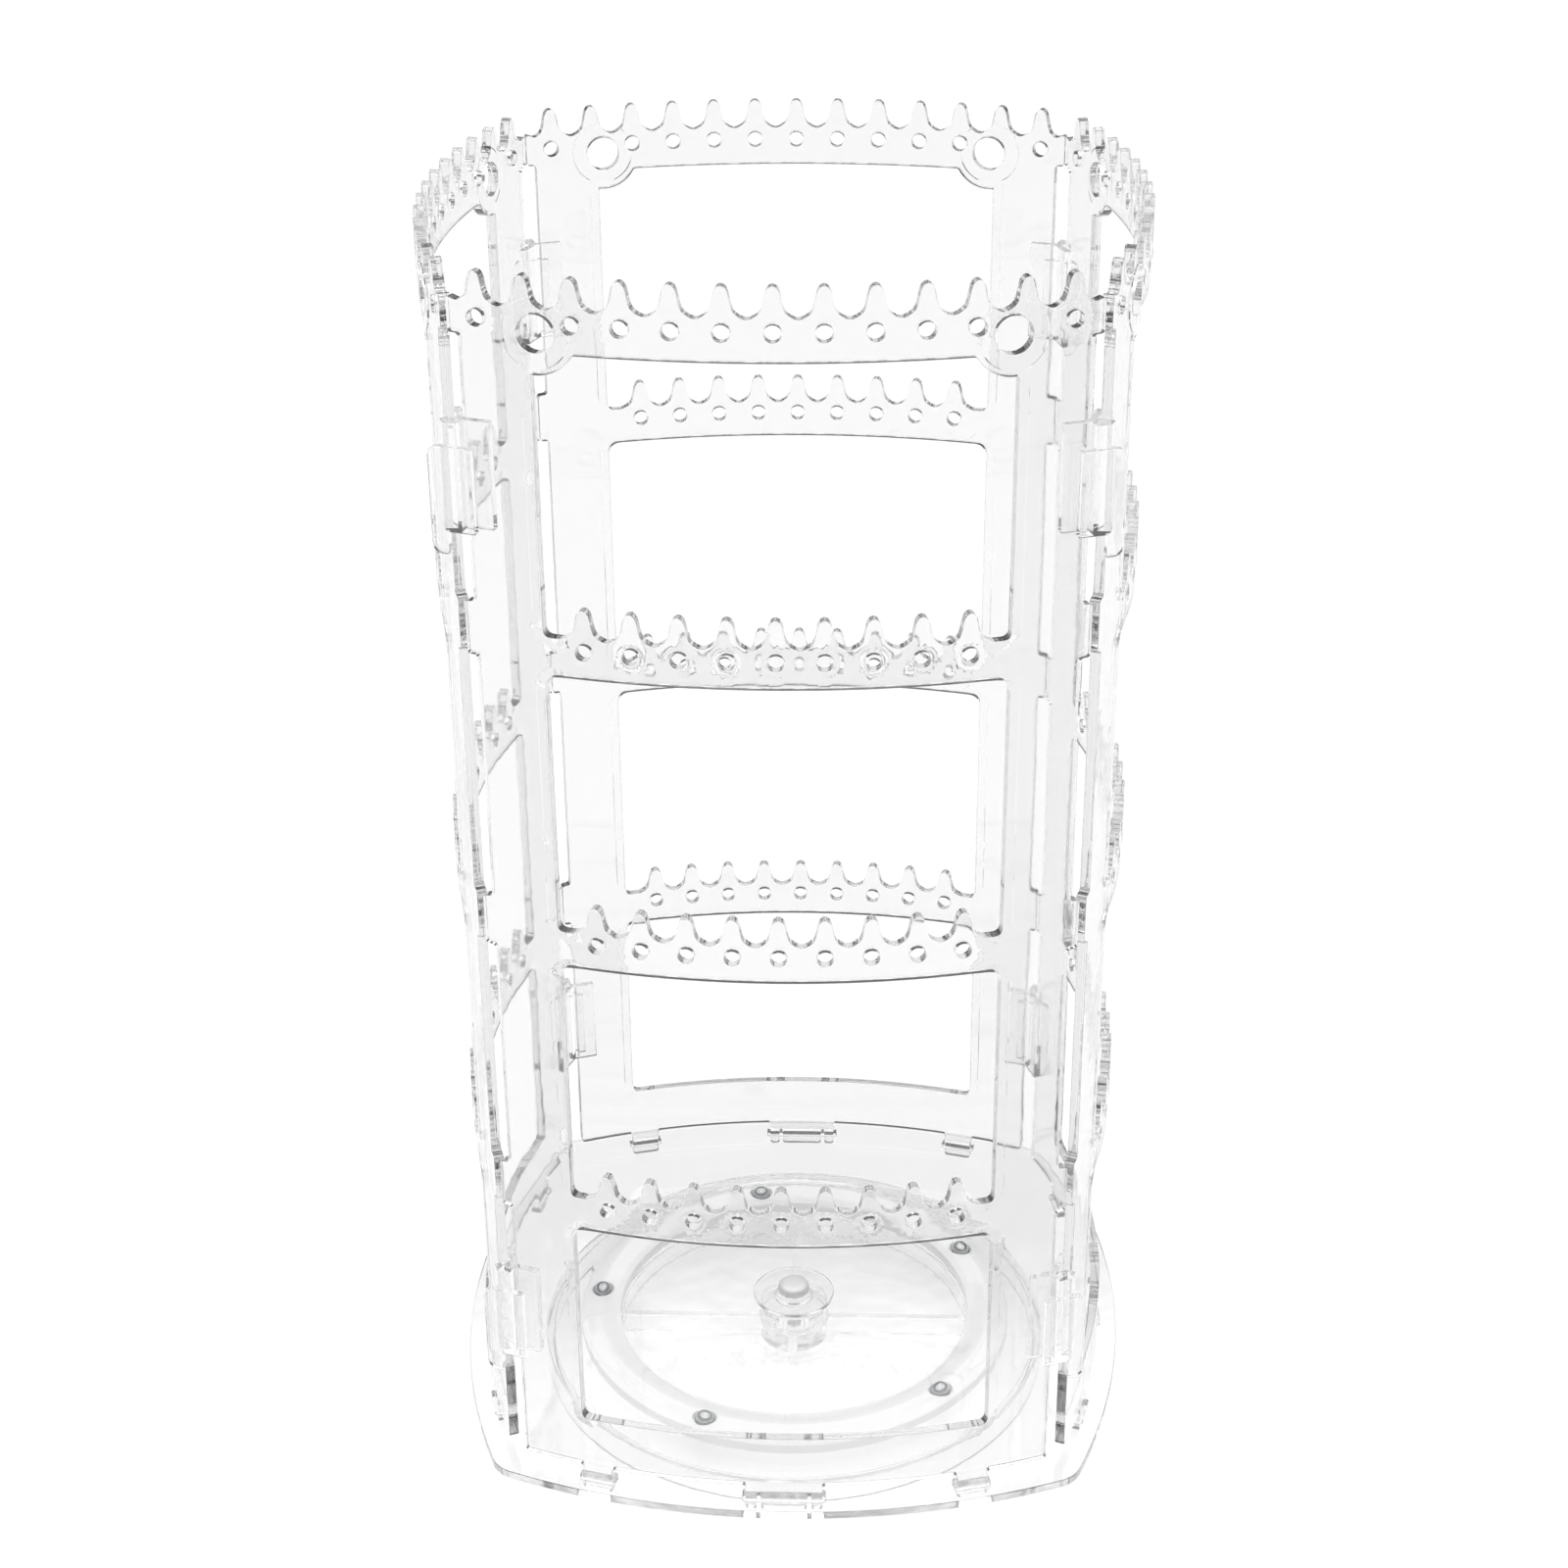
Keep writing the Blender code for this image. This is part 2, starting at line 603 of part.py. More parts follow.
def build_plate():
    """Turntable plate with its tab slots, hub bore and the upper ball track."""
    bore = circle_points((0.0, 0.0), PLATE_BORE_RADIUS, HUB_SEGMENTS)
    mesh = sheet_mesh("turntable_plate", [plate_outline(), bore] + slot_loops(), PLATE_THICKNESS)
    mesh.transform(Matrix.Translation((0.0, 0.0, (PLATE_TOP + PLATE_BOTTOM) / 2)))
    plate = link_object("turntable_plate", mesh, clear_styrene)
    plate.parent = turntable_axis
    groove = [
        (BALL_CIRCLE_RADIUS, PLATE_BOTTOM + TRACK_DEPTH),
        (BALL_CIRCLE_RADIUS + TRACK_WIDTH, PLATE_BOTTOM - TRACK_DEPTH),
        (BALL_CIRCLE_RADIUS - TRACK_WIDTH, PLATE_BOTTOM - TRACK_DEPTH),
        (BALL_CIRCLE_RADIUS, PLATE_BOTTOM + TRACK_DEPTH),
    ]
    track = add_cutter("upper_track", turned_mesh("upper_track", groove, RACE_SEGMENTS))
    add_boolean(plate, track, "DIFFERENCE")


def foot_profile():
    """Half section of the foot, from the screw bore over the top, down the rim and back underneath."""
    ring_out = CAGE_INNER_RADIUS + FOOT_RING_WALL
    under = FOOT_TOP - FOOT_SKIN
    half_track = TRACK_WIDTH / 2
    return [
        (0.0, BORE_BOTTOM),
        (SCREW_BORE_RADIUS, BORE_BOTTOM),
        (SCREW_BORE_RADIUS, COLLAR_TOP),
        (COLLAR_RADIUS, COLLAR_TOP),
        (COLLAR_RADIUS, POST_TOP),
        (POST_RADIUS, POST_TOP),
        (POST_RADIUS, FOOT_TOP),
        (BALL_CIRCLE_RADIUS - half_track, FOOT_TOP),
        (BALL_CIRCLE_RADIUS, FOOT_TOP - TRACK_DEPTH),
        (BALL_CIRCLE_RADIUS + half_track, FOOT_TOP),
        (FOOT_RADIUS, FOOT_TOP),
        (FOOT_RADIUS, 0.0),
        (FOOT_RADIUS - FOOT_RIM, 0.0),
        (FOOT_RADIUS - FOOT_RIM, under),
        (ring_out, under),
        (ring_out, FOOT_RIB_LIFT),
        (CAGE_INNER_RADIUS, FOOT_RIB_LIFT),
        (CAGE_INNER_RADIUS, under),
        (POST_RADIUS, under),
        (POST_RADIUS, FOOT_RIB_LIFT),
        (0.0, FOOT_RIB_LIFT),
    ]


def build_foot():
    """Moulded foot: skin, rim, ring under the track, hub post and radial ribs underneath."""
    foot = link_object("foot", turned_mesh("foot", foot_profile(), RACE_SEGMENTS), clear_styrene)
    inner = POST_RADIUS / 2
    outer = CAGE_INNER_RADIUS + FOOT_RING_WALL / 2
    half = FOOT_RIB_WIDTH / 2
    arm = [(inner, -half), (outer, -half), (outer, half), (inner, half)]
    low = FOOT_RIB_LIFT + SEAT_GAP
    high = FOOT_TOP - FOOT_SKIN / 2
    for index in range(RIB_COUNT):
        name = f"foot_rib_{index + 1}"
        rib = add_cutter(name, prism_mesh(name, arm, low, high))
        rib.rotation_euler.z = index * math.tau / RIB_COUNT
        add_boolean(foot, rib, "UNION")


def ball_mesh():
    """Mesh of one ball, from a sphere primitive."""
    bpy.ops.mesh.primitive_uv_sphere_add(
        segments=BALL_SEGMENTS,
        ring_count=BALL_SEGMENTS // 2,
        radius=BALL_RADIUS,
    )
    sphere = bpy.context.object
    mesh = sphere.data
    mesh.name = "bearing_ball"
    mesh.shade_smooth()
    bpy.data.objects.remove(sphere, do_unlink=True)
    return mesh


def build_ball_race():
    """Flat cage ring that lies on the foot, and the balls in its pockets."""
    mesh = ball_mesh()
    loops = [
        circle_points((0.0, 0.0), CAGE_OUTER_RADIUS, RACE_SEGMENTS),
        circle_points((0.0, 0.0), CAGE_INNER_RADIUS, RACE_SEGMENTS),
    ]
    for index in range(BALL_COUNT):
        angle = FIRST_BALL_ANGLE + index * math.tau / BALL_COUNT
        centre = (BALL_CIRCLE_RADIUS * math.cos(angle), BALL_CIRCLE_RADIUS * math.sin(angle))
        loops.append(circle_points(centre, BALL_RADIUS + RUNNING_GAP, BALL_SEGMENTS))
        ball = link_object(f"ball_{index + 1}", mesh, polished_steel)
        ball.location = (*centre, BALL_CENTRE)
        ball.parent = race_axis
    cage_mesh = sheet_mesh("ball_cage", loops, CAGE_TOP - CAGE_BOTTOM)
    cage_mesh.transform(Matrix.Translation((0.0, 0.0, (CAGE_TOP + CAGE_BOTTOM) / 2)))
    cage = link_object("ball_cage", cage_mesh, frosted_plastic)
    cage.parent = race_axis


def build_hub():
    """Clear washer on the collar and the domed screw that holds the stack together."""
    rings = [
        circle_points((0.0, 0.0), WASHER_RADIUS, 2 * HUB_SEGMENTS),
        circle_points((0.0, 0.0), SCREW_BORE_RADIUS, HUB_SEGMENTS),
    ]
    washer_mesh = sheet_mesh("hub_washer", rings, WASHER_THICKNESS)
    washer_mesh.transform(Matrix.Translation((0.0, 0.0, WASHER_BOTTOM + WASHER_THICKNESS / 2)))
    link_object("hub_washer", washer_mesh, clear_styrene)

    dome = arc_points((0.0, 0.0), 1.0, math.pi / 2, 0.0, ARC_STEPS + 1)
    profile = [(0.0, SCREW_HEAD_BOTTOM + SCREW_HEAD_HEIGHT)]
    profile += [(x * SCREW_HEAD_RADIUS, SCREW_HEAD_BOTTOM + y * SCREW_HEAD_HEIGHT) for x, y in dome[1:]]
    profile.append((SCREW_SHANK_RADIUS, SCREW_HEAD_BOTTOM))
    profile.append((SCREW_SHANK_RADIUS, BORE_BOTTOM + SCREW_TIP_CLEARANCE))
    profile.append((0.0, BORE_BOTTOM + SCREW_TIP_CLEARANCE))
    screw_mesh = turned_mesh("hub_screw", profile, HUB_SEGMENTS)
    smooth(screw_mesh, 40)
    link_object("hub_screw", screw_mesh, chrome_plate)


def add_axis(name):
    """Empty on the turning axis that moving pieces hang from."""
    axis = bpy.data.objects.new(name, None)
    parts.objects.link(axis)
    return axis


clear_scene()
parts = make_collection("earring_rack")
cutters = make_collection("cutters")
clear_styrene = make_material(CLEAR_STYRENE)
frosted_plastic = make_material(FROSTED_PLASTIC)
polished_steel = make_material(BALL_STEEL)
chrome_plate = make_material(CHROME)
turntable_axis = add_axis("turntable_axis")
race_axis = add_axis("race_axis")
build_foot()
build_ball_race()
build_plate()
build_panels()
build_clips()
build_hub()
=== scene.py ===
"""Looks of the rotating earring rack: clear moulded panels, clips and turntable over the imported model."""
import math

import bmesh
import bpy
import numpy as np
from mathutils import Matrix, Vector
from mathutils.geometry import delaunay_2d_cdt


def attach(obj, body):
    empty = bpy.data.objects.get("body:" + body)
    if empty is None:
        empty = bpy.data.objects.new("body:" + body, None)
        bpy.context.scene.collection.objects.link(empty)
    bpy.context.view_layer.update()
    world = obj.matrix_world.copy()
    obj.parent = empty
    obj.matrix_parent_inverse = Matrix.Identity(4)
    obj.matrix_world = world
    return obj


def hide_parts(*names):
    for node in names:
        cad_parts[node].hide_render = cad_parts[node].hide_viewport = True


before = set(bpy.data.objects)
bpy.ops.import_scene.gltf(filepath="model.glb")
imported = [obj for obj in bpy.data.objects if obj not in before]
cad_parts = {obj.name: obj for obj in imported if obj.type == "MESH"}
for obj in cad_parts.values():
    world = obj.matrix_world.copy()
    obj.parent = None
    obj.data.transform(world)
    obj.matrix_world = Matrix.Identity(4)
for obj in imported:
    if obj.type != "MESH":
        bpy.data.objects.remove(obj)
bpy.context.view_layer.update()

# Round foot
# The lowest moulding, which stands on its rim. Clear polystyrene, injection moulded in one shot with its
# ball track, hub post and four ribs underneath. Sizes in millimetres from the turning axis and the table.
BALL_CIRCLE = 48.98
CAGE_INNER = BALL_CIRCLE - 5.5
FOOT_RADIUS = BALL_CIRCLE + 13.0
FOOT_TOP = 8.0
FOOT_SKIN = 2.0
FOOT_RIM = 1.8
RING_WALL = 2.0
RIB_WIDTH = 2.2
RIB_LIFT = 0.8
SCREW_BORE = 2.0
COLLAR = 4.2
POST = 8.3
BORE_FLOOR = 5.8
POST_TOP = 12.1
COLLAR_TOP = 14.7
TRACK_DEPTH = 0.6
TRACK_HALF = 2.0
FOOT_ROUNDING = 0.4
FOOT_SIDES = 180
RIB_COUNT = 4
RIB_EDGE = 0.8
RIB_IN_POST = 2.0
RIB_IN_SKIN = 1.0
RIB_SETBACK = 0.2

# Which faces share a normal, which bends stay unrounded, and the finish of the clear plastic
SMOOTH_BELOW = math.radians(35)
BENT_ABOVE = -0.92
STYRENE_IOR = 1.59
FLOW_DEPTH = 0.03
FLOW_SIZE = 9.0
WIPE_SIZE = 2.5
HANDLING_HAZE = 0.03


def linear(code):
    """Linear red, green, blue and alpha of an sRGB hex colour."""
    srgb = np.array([int(code[i:i + 2], 16) for i in (0, 2, 4)]) / 255
    return (*np.where(srgb <= 0.04045, srgb / 12.92, ((srgb + 0.055) / 1.055) ** 2.4), 1.0)


def add_node(material, kind, sockets=None, **settings):
    """Add a node with its settings, and give each named socket its value or the output that feeds it."""
    new = material.node_tree.nodes.new(kind)
    for name, value in settings.items():
        setattr(new, name, value)
    for name, value in (sockets or {}).items():
        if isinstance(value, bpy.types.NodeSocket):
            material.node_tree.links.new(value, new.inputs[name])
        else:
            new.inputs[name].default_value = value
    return new


def empty_material(name):
    """A material with nothing but its output node."""
    material = bpy.data.materials.new(name)
    material.use_nodes = True
    material.node_tree.nodes.clear()
    return material


def thin_walled(material, plastic, colour, absorbed=0.0):
    """Output for a plastic so thin that light from a lamp or off the floor passes straight through it.

    Light that runs a long way inside, to an edge, loses the absorbed share per metre: exp(-absorbed x way).
    """
    passed = add_node(material, "ShaderNodeBsdfTransparent", {"Color": linear(colour)})
    ray = add_node(material, "ShaderNodeLightPath")
    lamp_or_bounce = add_node(material, "ShaderNodeMath", operation="MAXIMUM")
    material.node_tree.links.new(ray.outputs["Is Shadow Ray"], lamp_or_bounce.inputs[0])
    material.node_tree.links.new(ray.outputs["Is Diffuse Ray"], lamp_or_bounce.inputs[1])
    both = add_node(material, "ShaderNodeMixShader", {"Fac": lamp_or_bounce.outputs["Value"]})
    material.node_tree.links.new(plastic.outputs["BSDF"], both.inputs[1])
    material.node_tree.links.new(passed.outputs["BSDF"], both.inputs[2])
    output = add_node(material, "ShaderNodeOutputMaterial", {"Surface": both.outputs["Shader"]})
    if absorbed:
        body = add_node(material, "ShaderNodeVolumeAbsorption",
                        {"Color": linear("000000"), "Density": absorbed})
        material.node_tree.links.new(body.outputs["Volume"], output.inputs["Volume"])


def clear_styrene(name, colour, absorbed):
    """Clear polystyrene, injection moulded: glass-bright, IOR 1.59, with the faint ripples of its flow.

    The ripples are FLOW_SIZE mm wide and drawn out along the height, the way the melt ran. Handling leaves
    a faint haze in patches WIPE_SIZE mm across.
    """
    material = empty_material(name)
    place = add_node(material, "ShaderNodeTexCoord").outputs["Object"]
    drawn_out = add_node(material, "ShaderNodeMapping", {"Vector": place, "Scale": (1.0, 1.0, 0.3)})
    flow = add_node(material, "ShaderNodeTexNoise",
                    {"Vector": drawn_out.outputs["Vector"], "Scale": 1000 / FLOW_SIZE, "Detail": 1.5})
    relief = add_node(material, "ShaderNodeBump",
                      {"Height": flow.outputs["Fac"], "Distance": FLOW_DEPTH / 1000, "Strength": 1.0})
    wiped = add_node(material, "ShaderNodeTexNoise",
                     {"Vector": place, "Scale": 1000 / WIPE_SIZE, "Detail": 4.0})
    rough = add_node(material, "ShaderNodeMapRange",
                     {"Value": wiped.outputs["Fac"], "From Min": 0.35, "From Max": 0.75,
                      "To Min": HANDLING_HAZE * 0.5, "To Max": HANDLING_HAZE * 1.6})
    plastic = add_node(material, "ShaderNodeBsdfPrincipled",
                       {"Base Color": linear(colour), "IOR": STYRENE_IOR, "Transmission Weight": 1.0,
                        "Roughness": rough.outputs["Result"], "Normal": relief.outputs["Normal"]})
    thin_walled(material, plastic, "FFFFFF", absorbed)
    return material


def even_normals(mesh):
    """Give every face corner a normal that leaves the flats flat beside their rounded edges.

    It is the sum of area times face normal over the faces at the corner's point that turn less than
    SMOOTH_BELOW from the corner's own face.
    """
    mesh.shade_smooth()
    faces, corners = len(mesh.polygons), len(mesh.loops)
    normal = np.empty(faces * 3)
    area = np.empty(faces)
    sides = np.empty(faces, int)
    point = np.empty(corners, int)
    mesh.polygons.foreach_get("normal", normal)
    mesh.polygons.foreach_get("area", area)
    mesh.polygons.foreach_get("loop_total", sides)
    mesh.loops.foreach_get("vertex_index", point)
    normal = normal.reshape(-1, 3)
    face = np.repeat(np.arange(faces), sides)
    order = np.argsort(point, kind="stable")
    total = normal[face] * area[face, None]
    for step in range(1, np.bincount(point).max()):
        together = point[order[step:]] == point[order[:-step]]
        here, there = order[:-step][together], order[step:][together]
        close = np.sum(normal[face[here]] * normal[face[there]], axis=1) > math.cos(SMOOTH_BELOW)
        here, there = here[close], there[close]
        np.add.at(total, here, normal[face[there]] * area[face[there], None])
        np.add.at(total, there, normal[face[here]] * area[face[here], None])
    mesh.normals_split_custom_set((total / np.linalg.norm(total, axis=1, keepdims=True)).tolist())


def make_piece(name, mesh, material, node, body):
    """Show a finished mesh in place of a model node."""
    piece = bpy.data.objects.new(name, mesh)
    bpy.context.scene.collection.objects.link(piece)
    mesh.materials.clear()
    mesh.materials.append(material)
    even_normals(mesh)
    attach(piece, body)
    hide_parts(node)


def rounded(corners, radius, steps=4, closed=True):
    """An outline with its corners rounded, or an open profile whose two ends stay as they are.

    A corner turns into a curve between points at the radius from it, or at just under half a side where
    that is shorter: (1-t)^2 start + 2t(1-t) corner + t^2 end. A gentle bend, where the cosine between the
    two sides is under BENT_ABOVE, is left alone.
    """
    corners = np.asarray(corners, float)
    before = np.roll(corners, 1, axis=0) - corners
    after = np.roll(corners, -1, axis=0) - corners
    long_before = np.linalg.norm(before, axis=1, keepdims=True)
    long_after = np.linalg.norm(after, axis=1, keepdims=True)
    cosine = np.sum(before * after, axis=1, keepdims=True) / (long_before * long_after)
    cut = np.where(cosine > BENT_ABOVE, radius, 0.0)
    if not closed:
        cut[[0, -1]] = 0.0
    start = corners + before / long_before * np.minimum(cut, 0.48 * long_before)
    end = corners + after / long_after * np.minimum(cut, 0.48 * long_after)
    t = np.linspace(0, 1, steps + 1)[None, :, None]
    curve = (1 - t) ** 2 * start[:, None] + 2 * t * (1 - t) * corners[:, None] + t ** 2 * end[:, None]
    kept = (cut > 0).repeat(steps + 1, axis=1)
    kept[:, 0] = True
    return curve[kept]


def closed_mesh(name, points, faces):
    """Mesh of points in metres and faces, with points that meet welded and all faces turned outwards."""
    mesh = bpy.data.meshes.new(name)
    mesh.from_pydata(points, [], faces)
    work = bmesh.new()
    work.from_mesh(mesh)
    bmesh.ops.remove_doubles(work, verts=work.verts, dist=1e-6)
    bmesh.ops.recalc_face_normals(work, faces=work.faces)
    work.to_mesh(mesh)
    work.free()
    return mesh


def turned_mesh(name, profile, segments):
    """Solid of revolution of a half section in millimetres whose two ends lie on the axis.

    x = radius cos(angle), y = radius sin(angle), z = height, with the points on the axis welded.
    """
    radius, height = np.asarray(profile, float).T / 1000
    angle = np.linspace(0, math.tau, segments, endpoint=False)
    points = np.stack([radius[:, None] * np.cos(angle), radius[:, None] * np.sin(angle),
                       np.repeat(height[:, None], segments, axis=1)], axis=-1)
    row, column = np.meshgrid(np.arange(len(radius) - 1), np.arange(segments), indexing="ij")
    following = (column + 1) % segments
    quads = np.stack([row * segments + column, (row + 1) * segments + column,
                      (row + 1) * segments + following, row * segments + following], axis=-1)
    return closed_mesh(name, points.reshape(-1, 3).tolist(), quads.reshape(-1, 4).tolist())


def rib_mesh(angle):
    """One radial rib, from inside the hub post to inside the ring, slightly thinner at its free edge.

    Its section is swept straight out: x runs from the post to the ring, y is half the width at each height.
    """
    along = np.array([POST - RIB_IN_POST, CAGE_INNER + RING_WALL / 2])
    low, high = RIB_LIFT + RIB_SETBACK, FOOT_TOP - RIB_IN_SKIN
    across = np.array([(-RIB_EDGE, low), (RIB_EDGE, low), (1.0, high), (-1.0, high)])
    x = np.repeat(along, 4)
    y = np.tile(across[:, 0] * RIB_WIDTH / 2, 2)
    points = np.stack([x * math.cos(angle) - y * math.sin(angle), x * math.sin(angle) + y * math.cos(angle),
                       np.tile(across[:, 1], 2)], axis=-1) / 1000
    faces = [(0, 1, 2, 3), (7, 6, 5, 4), (0, 4, 5, 1), (1, 5, 6, 2), (2, 6, 7, 3), (3, 7, 4, 0)]
    return closed_mesh("rib", points.tolist(), faces)


def fused(mesh, others):
    """The one closed mesh that a mesh makes with the others joined to it."""
    whole = bpy.data.objects.new(mesh.name, mesh)
    bpy.context.scene.collection.objects.link(whole)
    added = [bpy.data.objects.new("rib", other) for other in others]
    for item in added:
        bpy.context.scene.collection.objects.link(item)
        union = whole.modifiers.new("rib", "BOOLEAN")
        union.object = item
        union.operation = "UNION"
        union.solver = "EXACT"
    graph = bpy.context.evaluated_depsgraph_get()
    result = bpy.data.meshes.new_from_object(whole.evaluated_get(graph))
    for item in [whole] + added:
        bpy.data.objects.remove(item, do_unlink=True)
    return result


# Half section of the foot: up the bore and over the post, through the track, and back below the skin
hub_side = [(0.0, BORE_FLOOR), (SCREW_BORE, BORE_FLOOR), (SCREW_BORE, COLLAR_TOP), (COLLAR, COLLAR_TOP),
            (COLLAR, POST_TOP), (POST, POST_TOP), (POST, FOOT_TOP)]
track = [(BALL_CIRCLE + TRACK_HALF * s, FOOT_TOP - TRACK_DEPTH * (1 - s * s)) for s in np.linspace(-1, 1, 9)]
below_skin = FOOT_TOP - FOOT_SKIN
rim_side = [(FOOT_RADIUS, FOOT_TOP), (FOOT_RADIUS, 0.0), (FOOT_RADIUS - FOOT_RIM, 0.0),
            (FOOT_RADIUS - FOOT_RIM, below_skin), (CAGE_INNER + RING_WALL, below_skin),
            (CAGE_INNER + RING_WALL, RIB_LIFT), (CAGE_INNER, RIB_LIFT), (CAGE_INNER, below_skin),
            (POST, below_skin), (POST, RIB_LIFT), (0.0, RIB_LIFT)]
foot_section = rounded(hub_side + track + rim_side, FOOT_ROUNDING, closed=False)
foot_round = turned_mesh("moulded_foot", foot_section, FOOT_SIDES)
ribs = [rib_mesh(index * math.tau / RIB_COUNT) for index in range(RIB_COUNT)]
clear_polystyrene = clear_styrene("clear_moulded_polystyrene", "FDFDFD", absorbed=1.5)
make_piece("moulded_foot", fused(foot_round, ribs), clear_polystyrene, "foot", "foot")

# Ball race
# A flat ring of frosted polypropylene that lies on the foot and keeps five hardened steel balls apart.
# The ring is moulded, the balls are ground and polished, and each sits loose in its round pocket.
BALL_RADIUS = 2.5
BALL_HEIGHT = 10.2
POCKET_RADIUS = 2.9
CAGE_OUTER = BALL_CIRCLE + 4.5
CAGE_BOTTOM = 8.3
CAGE_TOP = 10.9
CAGE_ROUNDING = 0.3
BALLS = 5
FIRST_BALL = math.radians(30)
BALL_STEPS = 24
GRAIN_SIZE = 0.4
GRAIN_DEPTH = 0.02
BATCH = 1000


def circle(x, y, radius, sides):
    """Points evenly spaced round a circle, counter-clockwise."""
    angle = np.linspace(0, math.tau, sides, endpoint=False)
    return np.stack([x + radius * np.cos(angle), y + radius * np.sin(angle)], axis=-1)


def stepped(loop, longest):
    """An outline with points added along every side longer than a step, evenly spaced."""
    ahead = np.roll(loop, -1, axis=0) - loop
    pieces = np.maximum(1, np.ceil(np.linalg.norm(ahead, axis=1) / longest)).astype(int)
    first = np.repeat(np.arange(len(loop)), pieces)
    step = np.arange(len(first)) - np.repeat(np.cumsum(pieces) - pieces, pieces)
    return loop[first] + ahead[first] * (step / pieces[first])[:, None]


def wound(loop, way):
    """The outline counter-clockwise for way 1 or clockwise for way -1, by the sign of its area."""
    ahead = np.roll(loop, -1, axis=0)
    area = np.sum(loop[:, 0] * ahead[:, 1] - loop[:, 1] * ahead[:, 0])
    return loop if area * way > 0 else loop[::-1]


def inset(loop, amount):
    """The outline moved into the material, which lies to its left, square to both sides of each corner.

    A point moves by amount / cosine of half the bend, and by twice the amount at most.
    """
    ahead = np.roll(loop, -1, axis=0) - loop
    ahead /= np.linalg.norm(ahead, axis=1, keepdims=True)
    left = np.stack([-ahead[:, 1], ahead[:, 0]], axis=-1)
    mean = left + np.roll(left, 1, axis=0)
    mean /= np.linalg.norm(mean, axis=1, keepdims=True)
    return loop + amount * mean / np.maximum(0.5, np.sum(mean * left, axis=1, keepdims=True))


def inside(points, loops):
    """True where a line to the right of a point crosses the outlines an odd number of times.

    The points are taken in batches, here and below, to save memory.
    """
    start = np.concatenate(loops)
    end = np.concatenate([np.roll(loop, -1, axis=0) for loop in loops])
    tilted = np.where(start[:, 1] == end[:, 1], 1.0, end[:, 1] - start[:, 1])
    slope = (end[:, 0] - start[:, 0]) / tilted
    result = np.zeros(len(points), bool)
    for at in range(0, len(points), BATCH):
        x, y = points[at:at + BATCH, :1], points[at:at + BATCH, 1:]
        spans = (start[:, 1] > y) != (end[:, 1] > y)
        crossed = spans & (start[:, 0] + (y - start[:, 1]) * slope > x)
        result[at:at + BATCH] = crossed.sum(axis=1) % 2 == 1
    return result


def clearance(points, loops):
    """Distance from each point to the nearest side of the outlines."""
    start = np.concatenate(loops)
    along = np.concatenate([np.roll(loop, -1, axis=0) for loop in loops]) - start
    result = np.zeros(len(points))
    for at in range(0, len(points), BATCH):
        away = points[at:at + BATCH, None] - start
        share = np.clip(np.sum(away * along, axis=-1) / np.sum(along ** 2, axis=-1), 0, 1)
        result[at:at + BATCH] = np.linalg.norm(away - share[..., None] * along, axis=-1).min(axis=1)
    return result


